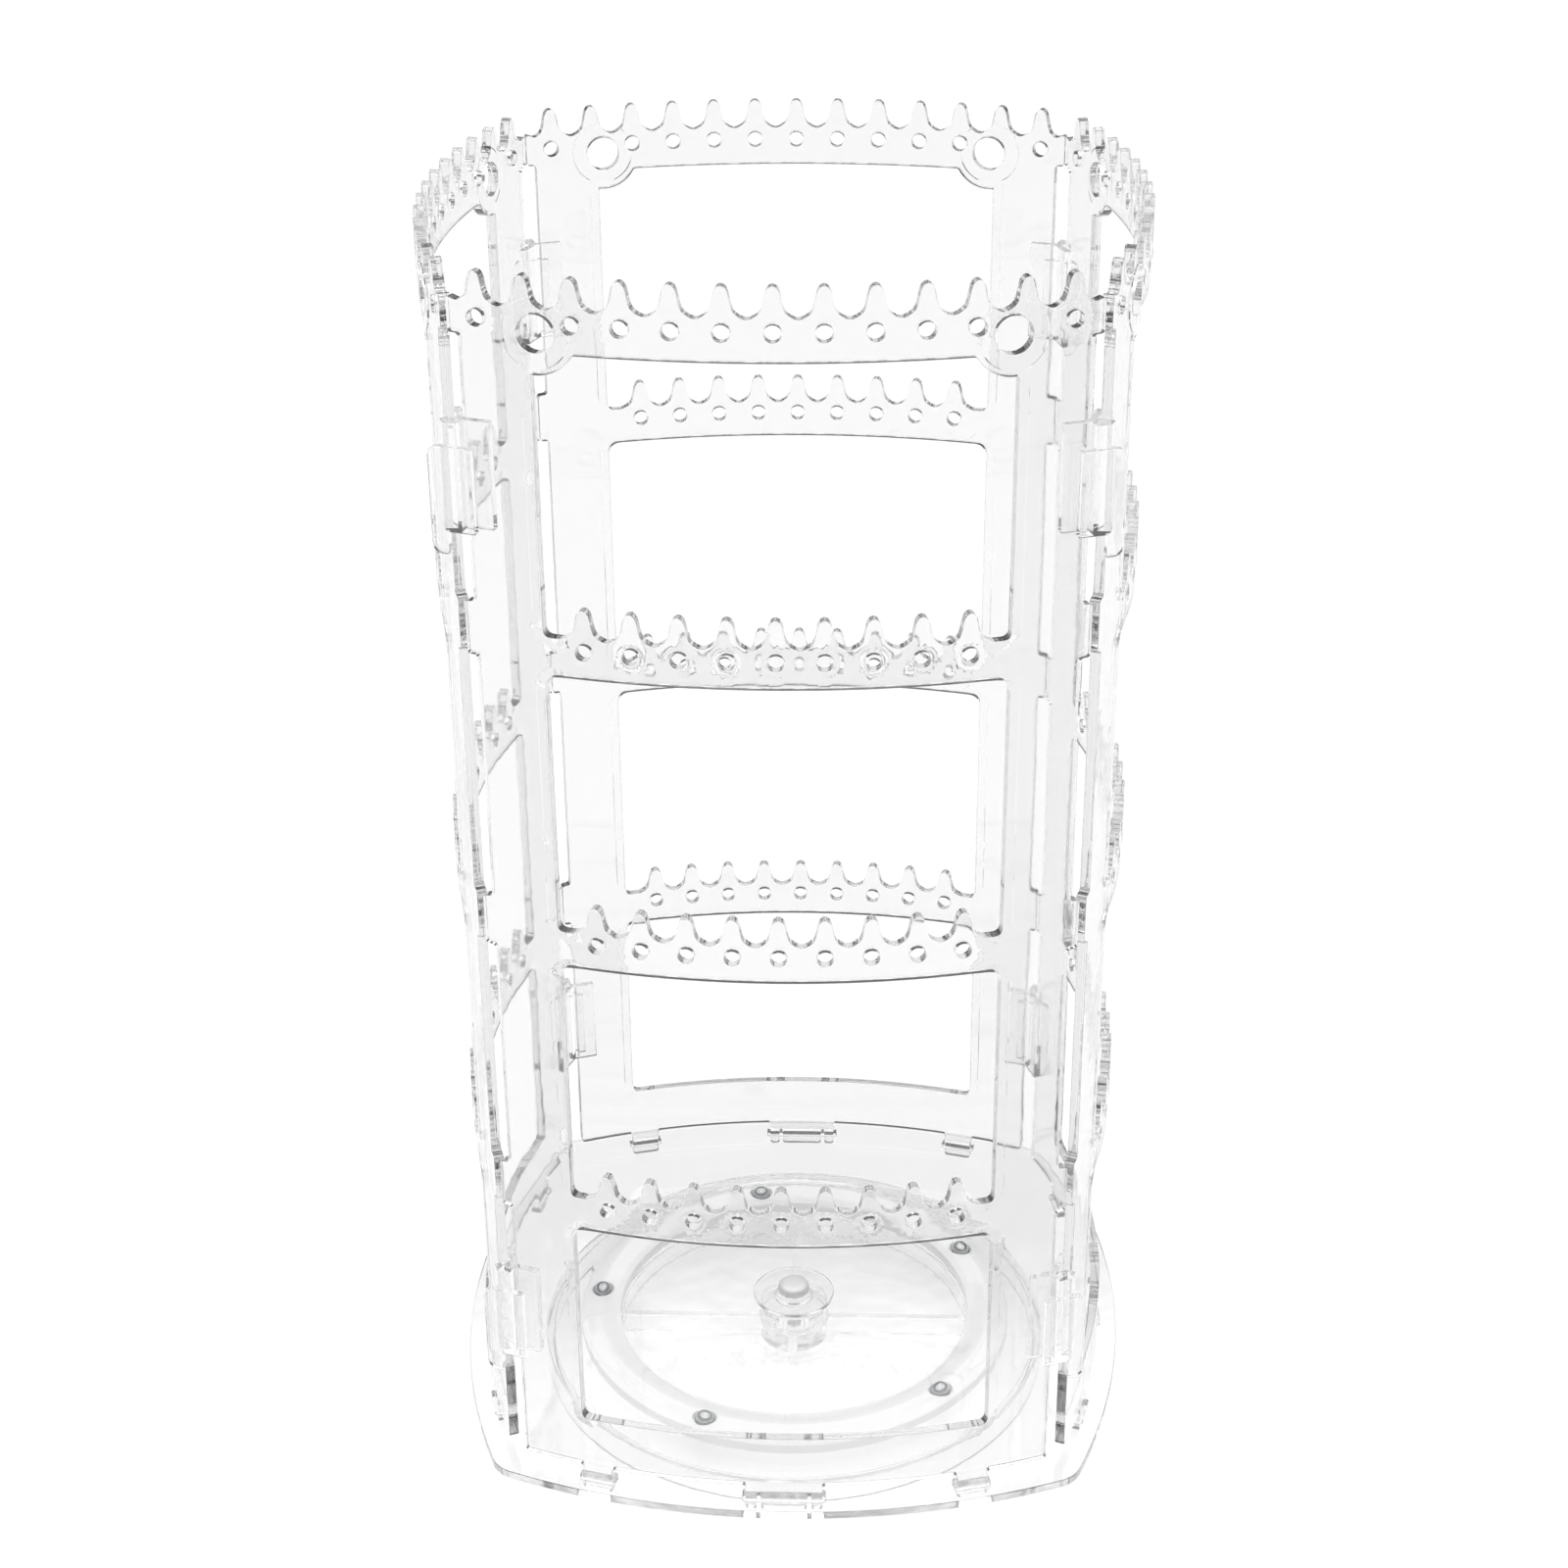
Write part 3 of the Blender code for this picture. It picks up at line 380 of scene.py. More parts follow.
def sheet_mesh(name, loops, thickness, fillet, spacing, place, lift=None, extra=()):
    """A moulded wall with holes: flat outlines carried through the wall on a profile with round edges.

    Every outline point runs from face to face on two quarter circles: it lies fillet (1 - sin a) inside the
    outline at depth fillet (1 - cos a), and on the faces 1.4 fillet inside it. Each face is a constrained
    triangulation of the outlines, a staggered grid and the extra points. lift(points) gives how far front
    and back stand proud, and place(points, depth) the point in space, all in millimetres until then.
    """
    margin = 1.4 * fillet
    free = 0.3 * spacing
    row_spacing = 0.87 * spacing
    loops = [wound(loop, 1 if index == 0 else -1) for index, loop in enumerate(loops)]
    quarter = np.radians([0, 30, 60, 90])
    inwards = np.concatenate([[margin], fillet * (1 - np.sin(quarter))])
    depth = np.concatenate([[0.0], fillet * (1 - np.cos(quarter))])
    inwards = np.concatenate([inwards, inwards[::-1]])
    depth = np.concatenate([depth, thickness - depth[::-1]])
    rows = np.stack([np.concatenate([inset(loop, amount) for loop in loops]) for amount in inwards])
    count = rows.shape[1]
    starts = np.cumsum([0] + [len(loop) for loop in loops[:-1]])
    following = np.concatenate([start + np.roll(np.arange(len(loop)), -1)
                                for start, loop in zip(starts, loops)])

    # The points of both faces, kept clear of the outlines and of each other
    low, high = loops[0].min(axis=0), loops[0].max(axis=0)
    x, y = np.meshgrid(np.arange(low[0], high[0], spacing), np.arange(low[1], high[1], row_spacing))
    x[1::2] += spacing / 2
    grid = np.stack([x.ravel(), y.ravel()], axis=-1)
    grid = grid[inside(grid, loops)]
    grid = grid[clearance(grid, loops) > margin + free]
    if len(extra):
        extra = extra[inside(extra, loops)]
        extra = extra[clearance(extra, loops) > margin + 0.1]
        away = np.concatenate([np.linalg.norm(grid[at:at + BATCH, None] - extra, axis=-1).min(axis=1)
                               for at in range(0, len(grid), BATCH)])
        grid = np.concatenate([grid[away > free], extra])
    flat = np.concatenate([rows[0], grid])
    sides = np.stack([np.arange(count), following], axis=-1)
    found = delaunay_2d_cdt([Vector(point) for point in flat], sides.tolist(), [], 0, 1e-7)
    triangles, origins = found[2], found[3]
    source = np.array([origin[0] for origin in origins])
    cap = source[np.array(triangles)]
    faces = [rows[0][start:start + len(loop)] for start, loop in zip(starts, loops)]
    cap = cap[inside(flat[cap].mean(axis=1), faces)]
    edge_a, edge_b = flat[cap[:, 1]] - flat[cap[:, 0]], flat[cap[:, 2]] - flat[cap[:, 0]]
    wrong = edge_a[:, 0] * edge_b[:, 1] < edge_a[:, 1] * edge_b[:, 0]
    cap[wrong] = cap[wrong][:, ::-1]

    # The wall between the faces, and the points in space
    points = np.concatenate([rows.reshape(-1, 2), grid, grid])
    depths = np.concatenate([np.repeat(depth, count), np.zeros(len(grid)), np.full(len(grid), thickness)])
    if lift is not None:
        front, back = lift(points)
        depths = np.where(depths < thickness / 2, depths - front, depths + back)
    last = (len(depth) - 1) * count
    inner = len(depth) * count
    front_cap = np.where(cap < count, cap, cap - count + inner)
    back_cap = np.where(cap < count, cap + last, cap - count + inner + len(grid))[:, ::-1]
    row, column = np.meshgrid(np.arange(len(depth) - 1), np.arange(count), indexing="ij")
    walls = np.stack([row * count + column, (row + 1) * count + column,
                      (row + 1) * count + following[column], row * count + following[column]], axis=-1)
    mesh = bpy.data.meshes.new(name)
    mesh.from_pydata((place(points, depths) / 1000).tolist(), [],
                     front_cap.tolist() + back_cap.tolist() + walls.reshape(-1, 4).tolist())
    return mesh


def ball_mesh(angle):
    """A ball on the circle: x = r cos(u) cos(v), y = r cos(u) sin(v), z = r sin(u), poles welded."""
    u = np.linspace(-math.pi / 2, math.pi / 2, BALL_STEPS + 1)
    section = np.stack([BALL_RADIUS * np.cos(u), BALL_HEIGHT + BALL_RADIUS * np.sin(u)], axis=-1)
    mesh = turned_mesh("steel_ball", section, 2 * BALL_STEPS)
    mesh.transform(Matrix.Translation((BALL_CIRCLE * math.cos(angle) / 1000,
                                       BALL_CIRCLE * math.sin(angle) / 1000, 0)))
    return mesh


def frosted_polypropylene(name, colour):
    """Natural polypropylene, moulded against a fine spark-eroded face: milky, half clear, no mirror.

    The grain is drawn GRAIN_SIZE mm wide, coarser than the real one, so that it shows.
    """
    material = empty_material(name)
    place = add_node(material, "ShaderNodeTexCoord").outputs["Object"]
    grain = add_node(material, "ShaderNodeTexNoise",
                     {"Vector": place, "Scale": 1000 / GRAIN_SIZE, "Detail": 3.0})
    relief = add_node(material, "ShaderNodeBump",
                      {"Height": grain.outputs["Fac"], "Distance": GRAIN_DEPTH / 1000, "Strength": 1.0})
    rough = add_node(material, "ShaderNodeMapRange",
                     {"Value": grain.outputs["Fac"], "To Min": 0.3, "To Max": 0.45})
    plastic = add_node(material, "ShaderNodeBsdfPrincipled",
                       {"Base Color": linear(colour), "IOR": 1.49, "Transmission Weight": 0.3,
                        "Roughness": rough.outputs["Result"], "Normal": relief.outputs["Normal"]})
    thin_walled(material, plastic, "FAFAFA")
    return material


def polished_metal(name, colour, haze, scratch_size, metallic=1.0):
    """Bright metal with fine hair scratches from polishing, drawn coarser than real ones, so that they show.

    A matt plating has metallic below 1, because it scatters part of its light as paint does.
    """
    material = empty_material(name)
    place = add_node(material, "ShaderNodeTexCoord").outputs["Object"]
    drawn = add_node(material, "ShaderNodeMapping", {"Vector": place, "Scale": (1.0, 6.0, 1.0)})
    scratch = add_node(material, "ShaderNodeTexNoise",
                       {"Vector": drawn.outputs["Vector"], "Scale": 1000 / scratch_size, "Detail": 5.0})
    rough = add_node(material, "ShaderNodeMapRange",
                     {"Value": scratch.outputs["Fac"], "From Min": 0.4, "From Max": 0.7,
                      "To Min": haze * 0.6, "To Max": haze * 1.7})
    metal = add_node(material, "ShaderNodeBsdfPrincipled",
                     {"Base Color": linear(colour), "Metallic": metallic,
                      "Roughness": rough.outputs["Result"]})
    add_node(material, "ShaderNodeOutputMaterial", {"Surface": metal.outputs["BSDF"]})
    return material


def level(top):
    """Placing for a level sheet whose upper face lies at a height: the depth runs down from it."""
    return lambda points, depth: np.stack([points[:, 0], points[:, 1], top - depth], axis=-1)


frosted_ring = frosted_polypropylene("frosted_polypropylene", "F1F1F1")
bearing_steel = polished_metal("polished_bearing_steel", "B4B6B8", haze=0.05, scratch_size=0.6)
pockets = []
for index in range(BALLS):
    angle = FIRST_BALL + index * math.tau / BALLS
    make_piece(f"steel_ball_{index + 1}", ball_mesh(angle), bearing_steel, f"ball_{index + 1}", "ball_race")
    pockets.append(circle(BALL_CIRCLE * math.cos(angle), BALL_CIRCLE * math.sin(angle), POCKET_RADIUS,
                          sides=40))
cage_loops = [circle(0, 0, CAGE_OUTER, sides=200), circle(0, 0, CAGE_INNER, sides=180)] + pockets
cage_mesh = sheet_mesh("race_ring", cage_loops, CAGE_TOP - CAGE_BOTTOM, CAGE_ROUNDING, spacing=2.5,
                       place=level(CAGE_TOP))
make_piece("race_ring", cage_mesh, frosted_ring, "ball_cage", "ball_race")

# Turntable plate
# The clear plate that turns on the balls. Moulded with bowed sides, a slot for every panel tab, a bore for
# the foot's collar and the upper ball track underneath.
PANEL_THICKNESS = 2.2
BOW = 165.0
BOW_CENTRE = 89.42
PLATE_TOP = 14.4
PLATE_THICKNESS = 2.0
PLATE_OVERHANG = 4.8
PLATE_CORNER = 8.0
PLATE_BORE = 4.6
PLATE_ROUNDING = 0.2
UPPER_TRACK_DEPTH = 0.35
UPPER_TRACK_HALF = 4.5
CENTRE_TAB = 17.6
SIDE_TAB = 7.2
SIDE_TAB_AT = 43.6
SLOT_CLEARANCE = 0.6
SLOT_CORNER = 0.8


def quarter_turned(points, quarters):
    """Plan points turned about the axis by a number of quarter turns."""
    x, y = points.T
    return np.stack([(x, y), (-y, x), (-x, -y), (y, -x)][quarters % 4], axis=-1)


def bowed(points, depth):
    """Place on the front panel: x is measured along the bowed outer face, y up and the depth inwards.

    angle = x / bow, plan = (r sin(angle), centre - r cos(angle)) with r = bow - depth.
    """
    angle = points[:, 0] / BOW
    radius = BOW - depth
    return np.stack([radius * np.sin(angle), BOW_CENTRE - radius * np.cos(angle), points[:, 1]], axis=-1)


def plate_outline():
    """One bowed side and one round corner, repeated for the four sides.

    The corner's middle lies on the diagonal, at bow + overhang - corner radius from the bow's centre.
    """
    inner = BOW + PLATE_OVERHANG - PLATE_CORNER
    reach = math.acos(BOW_CENTRE / (math.sqrt(2) * inner)) - math.pi / 4
    side = np.linspace(-reach, reach, 60) - math.pi / 2
    corner = np.linspace(reach - math.pi / 2, -reach, 14)[1:-1]
    middle = np.array([inner * math.sin(reach), BOW_CENTRE - inner * math.cos(reach)])
    bow_centre = np.array([0.0, BOW_CENTRE])
    outline = np.concatenate([
        bow_centre + (BOW + PLATE_OVERHANG) * np.stack([np.cos(side), np.sin(side)], axis=-1),
        middle + PLATE_CORNER * np.stack([np.cos(corner), np.sin(corner)], axis=-1)])
    return np.concatenate([quarter_turned(outline, quarters) for quarters in range(4)])


def slot_outline(offset, width, quarters):
    """Round-cornered slot for a tab, straight across the bow at the tab's middle."""
    ends = bowed(np.array([[offset - width / 2, 0], [offset + width / 2, 0]]), PANEL_THICKNESS / 2)[:, :2]
    middle = bowed(np.array([[offset, 0]]), PANEL_THICKNESS / 2)[0, :2]
    centre = (ends[0] + ends[1] + 2 * middle) / 4
    along = (ends[1] - ends[0]) / np.linalg.norm(ends[1] - ends[0])
    across = np.array([-along[1], along[0]]) * (PANEL_THICKNESS / 2 + SLOT_CLEARANCE)
    along = along * (width / 2 + SLOT_CLEARANCE)
    corners = [centre - along - across, centre + along - across,
               centre + along + across, centre - along + across]
    return stepped(rounded(quarter_turned(np.array(corners), quarters), SLOT_CORNER), longest=2.0)


def track_lift(points):
    """The upper ball track in the plate's underside: a trough of depth x cos(90 degrees x off) squared."""
    off = np.clip((np.hypot(points[:, 0], points[:, 1]) - BALL_CIRCLE) / UPPER_TRACK_HALF, -1, 1)
    return np.zeros(len(points)), -UPPER_TRACK_DEPTH * np.cos(off * math.pi / 2) ** 2


tabs = ((-SIDE_TAB_AT, SIDE_TAB), (0.0, CENTRE_TAB), (SIDE_TAB_AT, SIDE_TAB))
slots = [slot_outline(offset, width, quarters) for offset, width in tabs for quarters in range(4)]
track_rings = np.concatenate([circle(0, 0, BALL_CIRCLE + UPPER_TRACK_HALF * s, sides=200)
                              for s in np.linspace(-1, 1, 11)])
plate_loops = [plate_outline(), circle(0, 0, PLATE_BORE, sides=60)] + slots
plate_mesh = sheet_mesh("bowed_plate", plate_loops, PLATE_THICKNESS, PLATE_ROUNDING, spacing=3.0,
                        place=level(PLATE_TOP), lift=track_lift, extra=track_rings)
make_piece("bowed_plate", plate_mesh, clear_polystyrene, "turntable_plate", "turntable")

# Hub
# A clear washer on the foot's collar and a nickel-plated steel screw with a domed head, driven down through
# it. Together they keep the plate on its balls.
WASHER_RADIUS = 10.0
WASHER_BOTTOM = 15.0
WASHER_THICKNESS = 1.0
SCREW_SHANK = 1.7
SCREW_HEAD = 3.9
HEAD_BOTTOM = 16.3
HEAD_HEIGHT = 2.4
HEAD_EDGE = 0.4
SCREW_TIP = 6.4
TIP_LENGTH = 0.8
TIP_TAPER = 0.7
HUB_ROUNDING = 0.15

washer_loops = [circle(0, 0, WASHER_RADIUS, sides=96), circle(0, 0, SCREW_BORE, sides=40)]
washer_mesh = sheet_mesh("clear_washer", washer_loops, WASHER_THICKNESS, HUB_ROUNDING, spacing=2.0,
                         place=level(WASHER_BOTTOM + WASHER_THICKNESS))
make_piece("clear_washer", washer_mesh, clear_polystyrene, "hub_washer", "foot")
# Half section of the screw: a dome of radius x cos(a)^0.5 and height x sin(a)^0.6 from a first point on the
# axis, then shank and tip
screw_section = [(SCREW_HEAD * max(math.cos(a), 0) ** 0.5,
                  HEAD_BOTTOM + HEAD_EDGE + (HEAD_HEIGHT - HEAD_EDGE) * math.sin(a) ** 0.6)
                 for a in np.linspace(math.pi / 2, 0, 17)]
screw_section += [(SCREW_HEAD, HEAD_BOTTOM), (SCREW_SHANK, HEAD_BOTTOM),
                  (SCREW_SHANK, SCREW_TIP + TIP_LENGTH), (SCREW_SHANK - TIP_TAPER, SCREW_TIP),
                  (0.0, SCREW_TIP)]
screw_section[0] = (0.0, HEAD_BOTTOM + HEAD_HEIGHT)
screw_mesh = turned_mesh("plated_screw", rounded(screw_section, HUB_ROUNDING, closed=False), segments=72)
nickel_plate = polished_metal("satin_nickel_plate", "DEDEDE", haze=0.5, scratch_size=0.3, metallic=0.35)
make_piece("plated_screw", screw_mesh, nickel_plate, "hub_screw", "foot")

# Comb panels
# Four equal clear walls, bowed outwards, that stand in the plate's slots. Each is moulded in one piece with
# four rows of comb teeth over hook holes, two large holes near the top corners and tongues at both edges.
PITCH = 9.6
TOP_TEETH = 13
LOWER_TEETH = 9
TOOTH = 6.4
PANEL_BOTTOM = 17.8
VALLEYS = (273.4, 207.0, 140.6, 74.2)
BAR = 8.4
HALF_WIDTH = 61.4
HALF_WINDOW = 46.6
RAIL = 13.4
SILLS = VALLEYS[1:] + (RAIL,)
HOOK_HOLE = 1.7
HOOK_HOLE_DROP = 2.7
STUD_HOLE = 3.75
STUD_HOLE_AT = 45.4
STUD_HOLE_DROP = 4.6
STUD_BOSS = 8.1
BOSS_CORNER = 0.9
WINDOW_CORNER = 2.9
HEAD_DEPTH = 20.0
SILL_CORNER = 1.8
OUTER_CORNER = 0.9
PANEL_ROUNDING = 0.12
TONGUE_RISE = 2.3
TONGUE_STOP = 1.0
TOP_TONGUE = 1.1
CORNER_GAP = 0.15
TAB_DEPTH = 7.9
SLIT_LENGTH = 5.0
SLIT_AT = 3.5
SLIT_WIDTH = 0.9
HOOK_RIM = 3.0
HOOK_RIM_HEIGHT = 0.05
STUD_RIM = 7.0
STUD_RIM_HEIGHT = 0.2
FRAME_WIDTH = 2.1
FRAME_HEIGHT = 0.16
FRAME_START = 42.0
RELIEF_SLOPE = 0.2


def comb_line(teeth, valley):
    """Upper edge of a comb row from its first valley to its last, as one smooth curve.

    A Catmull-Rom curve runs through the flank, shoulder and tip of every tooth, measured in pitches. Its
    two ends are level.
    """
    half_tooth = np.array([(-0.30, -0.575), (-0.21, -0.44), (-0.13, -0.10), (0.0, 0.0),
                           (0.13, -0.10), (0.21, -0.44), (0.30, -0.575), (0.5, -0.667)])
    middles = (np.arange(teeth) - (teeth - 1) / 2)[:, None, None] * np.array([1.0, 0.0])
    keys = (half_tooth[None] + middles).reshape(-1, 2)
    first_valley = keys[0] + (-0.2, -0.092)
    keys = np.concatenate([[first_valley], keys])
    keys = keys * PITCH + (0.0, valley + TOOTH)
    before, after = np.roll(keys, 1, axis=0), np.roll(keys, -1, axis=0)
    tangent = (after - before) / 2
    tangent[0] = tangent[-1] = (0.1 * PITCH, 0.0)
    t = np.linspace(0, 1, 4, endpoint=False)[None, :, None]
    a, b, m, n = keys[:-1, None], keys[1:, None], tangent[:-1, None], tangent[1:, None]
    curve = (2 * t ** 3 - 3 * t ** 2 + 1) * a + (t ** 3 - 2 * t ** 2 + t) * m \
        + (3 * t ** 2 - 2 * t ** 3) * b + (t ** 3 - t ** 2) * n
    return np.concatenate([curve.reshape(-1, 2), keys[-1:]])


def mirrored(points):
    """Points mirrored left to right, in reverse order."""
    return np.asarray(points)[::-1] * (-1.0, 1.0)


def window(row):
    """Opening below a comb row: comb or plain sill, upright sides, and the bar's underside on top.

    Sill and head come from two outlines that meet on the upright sides, where their spare corners are
    dropped. In the top row the bosses of the large holes cut an arc off both upper corners.
    """
    underside = VALLEYS[row] - BAR
    meeting = underside - HEAD_DEPTH
    if row == 0:
        middle = np.array([STUD_HOLE_AT, VALLEYS[0] - STUD_HOLE_DROP])
        start = -math.acos((HALF_WINDOW - middle[0]) / STUD_BOSS)
        end = math.asin((middle[1] - underside) / STUD_BOSS) - math.pi
        angle = np.linspace(start, end, 16)
        top = middle + STUD_BOSS * np.stack([np.cos(angle), np.sin(angle)], axis=-1)
        radius = BOSS_CORNER
    else:
        top = np.array([(HALF_WINDOW, underside)])
        radius = WINDOW_CORNER
    low = SILLS[row]
    comb = [] if low == RAIL else [comb_line(LOWER_TEETH, low)]
    sill = rounded(np.concatenate([[(-HALF_WINDOW, low)]] + comb + [
        [(HALF_WINDOW, low), (HALF_WINDOW, meeting), (-HALF_WINDOW, meeting)]]), SILL_CORNER)
    head = rounded(np.concatenate([[(-HALF_WINDOW, meeting), (HALF_WINDOW, meeting)],
                                   top, mirrored(top)]), radius, steps=6)
    spare = 2 * WINDOW_CORNER
    return sill[sill[:, 1] < meeting - spare], head[head[:, 1] > meeting + spare]


def panel_side():
    """Right edge from bottom to top, with a square tongue at each comb row.

    A tongue's inner edge stops the corner gap short of the diagonal between two panels, at the angle
    45 degrees - asin((bow centre / sqrt 2 + gap) / inner radius).
    """
    reach = (BOW_CENTRE / math.sqrt(2) + CORNER_GAP) / (BOW - PANEL_THICKNESS)
    tongue = BOW * (math.pi / 4 - math.asin(reach))
    points = [(HALF_WIDTH, 0.0)]
    for valley in VALLEYS[::-1]:
        low = valley - BAR + TONGUE_RISE
        high = valley + (TOP_TONGUE if valley == VALLEYS[0] else TOOTH - TONGUE_STOP)
        points += [(HALF_WIDTH, low), (tongue, low), (tongue, high), (HALF_WIDTH, high)]
    return np.array(points[:-1])


def panel_foot():
    """Lower edge from left to right: side tab, centre tab with its two spring slits, side tab."""
    centre, side = CENTRE_TAB / 2, SIDE_TAB / 2
    slit_top = SLIT_LENGTH - TAB_DEPTH
    near, far = centre - SLIT_AT, centre - SLIT_AT + SLIT_WIDTH
    right = np.array([
        (near, -TAB_DEPTH), (near, slit_top), (far, slit_top), (far, -TAB_DEPTH),
        (centre, -TAB_DEPTH), (centre, 0.0), (SIDE_TAB_AT - side, 0.0), (SIDE_TAB_AT - side, -TAB_DEPTH),
        (SIDE_TAB_AT + side, -TAB_DEPTH), (SIDE_TAB_AT + side, 0.0)])
    return np.concatenate([mirrored(right), right])


def beside_window(points, row):
    """Distance of points from a window taken as a rectangle with round corners, negative inside it."""
    low = SILLS[row]
    middle, half = (low + VALLEYS[row] - BAR) / 2, (VALLEYS[row] - BAR - low) / 2
    off = np.abs(points - (0, middle)) - (HALF_WINDOW - WINDOW_CORNER, half - WINDOW_CORNER)
    return np.linalg.norm(np.maximum(off, 0), axis=-1) + np.minimum(off.max(axis=-1), 0) - WINDOW_CORNER


def front_relief(points):
    """Low relief of the front: a rim round every hole and a frame down both sides of every window.

    Each is flat-topped with a sloping side: height times (edge - distance) / slope, held between 0 and the
    height. The frames fade out along the bars.
    """
    lift = np.zeros(len(points))
    for x, y, radius, height in hole_rims:
        off = np.hypot(points[:, 0] - x, points[:, 1] - y)
        lift = np.maximum(lift, height * np.clip((radius - off) / RELIEF_SLOPE, 0, 1))
    fade = np.clip((np.abs(points[:, 0]) - FRAME_START) / 2, 0, 1)
    for row in range(len(SILLS)):
        edge = FRAME_WIDTH - beside_window(points, row)
        lift = np.maximum(lift, FRAME_HEIGHT * fade * np.clip(edge / RELIEF_SLOPE, 0, 1))
    return lift, np.zeros(len(points))


def on_panel(points, depth):
    """Place on the front panel, with y counted from the panel's lower edge."""
    return bowed(points, depth) + (0.0, 0.0, PANEL_BOTTOM)


side = panel_side()
outer = np.concatenate([panel_foot(), side, comb_line(TOP_TEETH, VALLEYS[0])[::-1][2:-2], mirrored(side)])
panel_loops = [stepped(rounded(outer, OUTER_CORNER), longest=2.4)]
panel_loops += [stepped(np.concatenate(window(row)), longest=2.4) for row in range(len(SILLS))]
hole_rims = []
for row, valley in enumerate(VALLEYS):
    teeth = TOP_TEETH if row == 0 else LOWER_TEETH
    for index in range(teeth):
        if row > 0 or index not in (1, TOP_TEETH - 2):
            x, y = (index - (teeth - 1) / 2) * PITCH, valley - HOOK_HOLE_DROP
            panel_loops.append(circle(x, y, HOOK_HOLE, sides=28))
            hole_rims.append((x, y, HOOK_RIM, HOOK_RIM_HEIGHT))
for x in (-STUD_HOLE_AT, STUD_HOLE_AT):
    panel_loops.append(circle(x, VALLEYS[0] - STUD_HOLE_DROP, STUD_HOLE, sides=48))
    hole_rims.append((x, VALLEYS[0] - STUD_HOLE_DROP, STUD_RIM, STUD_RIM_HEIGHT))
relief_points = [circle(x, y, radius - step, sides=int(14 * radius) // 4 * 4)
                 for x, y, radius, height in hole_rims for step in (0.0, RELIEF_SLOPE)]
for row in range(len(SILLS)):
    for away in (FRAME_WIDTH - RELIEF_SLOPE, FRAME_WIDTH):
        wide, low, top = HALF_WINDOW + away, SILLS[row] - away, VALLEYS[row] - BAR + away
        frame_line = stepped(rounded([(wide, low), (wide, top), (-wide, top), (-wide, low)],
                                     WINDOW_CORNER + away, steps=8), longest=2.0)
        relief_points.append(frame_line[np.abs(frame_line[:, 0]) > FRAME_START])
panel_polystyrene = clear_styrene("clear_panel_polystyrene", "F6F6F6", absorbed=10.0)
panel_mesh = sheet_mesh("comb_panel", panel_loops, PANEL_THICKNESS, PANEL_ROUNDING, spacing=3.2,
                        place=on_panel, lift=front_relief, extra=np.concatenate(relief_points))
for quarter, name in enumerate(("front", "right", "back", "left")):
    mesh = panel_mesh.copy()
    mesh.transform(Matrix.Rotation(quarter * math.pi / 2, 4, "Z"))
    make_piece(f"comb_panel_{name}", mesh, panel_polystyrene, f"panel_{name}", "turntable")

# Corner clips
# Eight small clear mouldings, one high and one low at each corner. Each stands in the slot between two
# panels, with a flat plate outside and two arms behind the walls. Their edges are rounded by the mould.
CLIP_ROUNDING = 0.15
FLAT_BELOW = math.radians(1)
SHARP_ABOVE = math.radians(30)


def softened_copy(node):
    """A model node's shape, welded and freed of the lines across its flats, with its edges rounded."""
    work = bmesh.new()
    work.from_mesh(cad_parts[node].data)
    bmesh.ops.remove_doubles(work, verts=work.verts, dist=1e-6)
    bmesh.ops.dissolve_limit(work, angle_limit=FLAT_BELOW, verts=work.verts, edges=work.edges)
    sharp = [edge for edge in work.edges if edge.calc_face_angle(0.0) > SHARP_ABOVE]
    bmesh.ops.bevel(work, geom=sharp, offset=CLIP_ROUNDING / 1000, segments=3, profile=0.5, affect="EDGES")
    mesh = bpy.data.meshes.new(node)
    work.to_mesh(mesh)
    work.free()
    return mesh


for height in ("upper", "lower"):
    for corner in ("front_right", "front_left", "back_left", "back_right"):
        node = f"clip_{height}_{corner}"
        make_piece(f"corner_{node}", softened_copy(node), clear_polystyrene, node, "turntable")

# Floor, light and camera
# A plain white floor under a soft overhead light. The walls of the room are darker than its ceiling, which
# is what draws the thin grey lines along the edges of clear plastic. Sizes are in metres, angles in radians.
FLOOR_SIZE = 40.0
WALL_LIGHT = 0.12
CEILING_LIGHT = 1.6
WALL_END = 0.58
CEILING_START = 0.63
LAMP_AT = (0.0, -0.3, 2.2)
LAMP_SIZE = 1.6
LAMP_POWER = 4
LAMP_AIM = (0.0, 0.0, 0.15)
BOUNCES = 64
CAMERA_LENS = 64.3
CAMERA_AROUND = (0.0, 0.0, 0.1824)
CAMERA_DISTANCE = 0.6305
CAMERA_HEIGHT_ANGLE = 0.4292
CAMERA_SIDE_ANGLE = 0.0347
CAMERA_AIM = (-0.00137, -0.00005, 0.15837)
CAMERA_ROLL = -0.0086


def floor_mesh():
    """A level square in the table's plane."""
    half = FLOOR_SIZE / 2
    mesh = bpy.data.meshes.new("floor")
    mesh.from_pydata([(-half, -half, 0), (half, -half, 0), (half, half, 0), (-half, half, 0)], [],
                     [(0, 1, 2, 3)])
    return mesh


def white_paint(name):
    """Matt white paint on a studio floor."""
    material = empty_material(name)
    paint = add_node(material, "ShaderNodeBsdfPrincipled",
                     {"Base Color": linear("FAFAFA"), "Roughness": 0.9, "Specular IOR Level": 0.1})
    add_node(material, "ShaderNodeOutputMaterial", {"Surface": paint.outputs["BSDF"]})
    return material


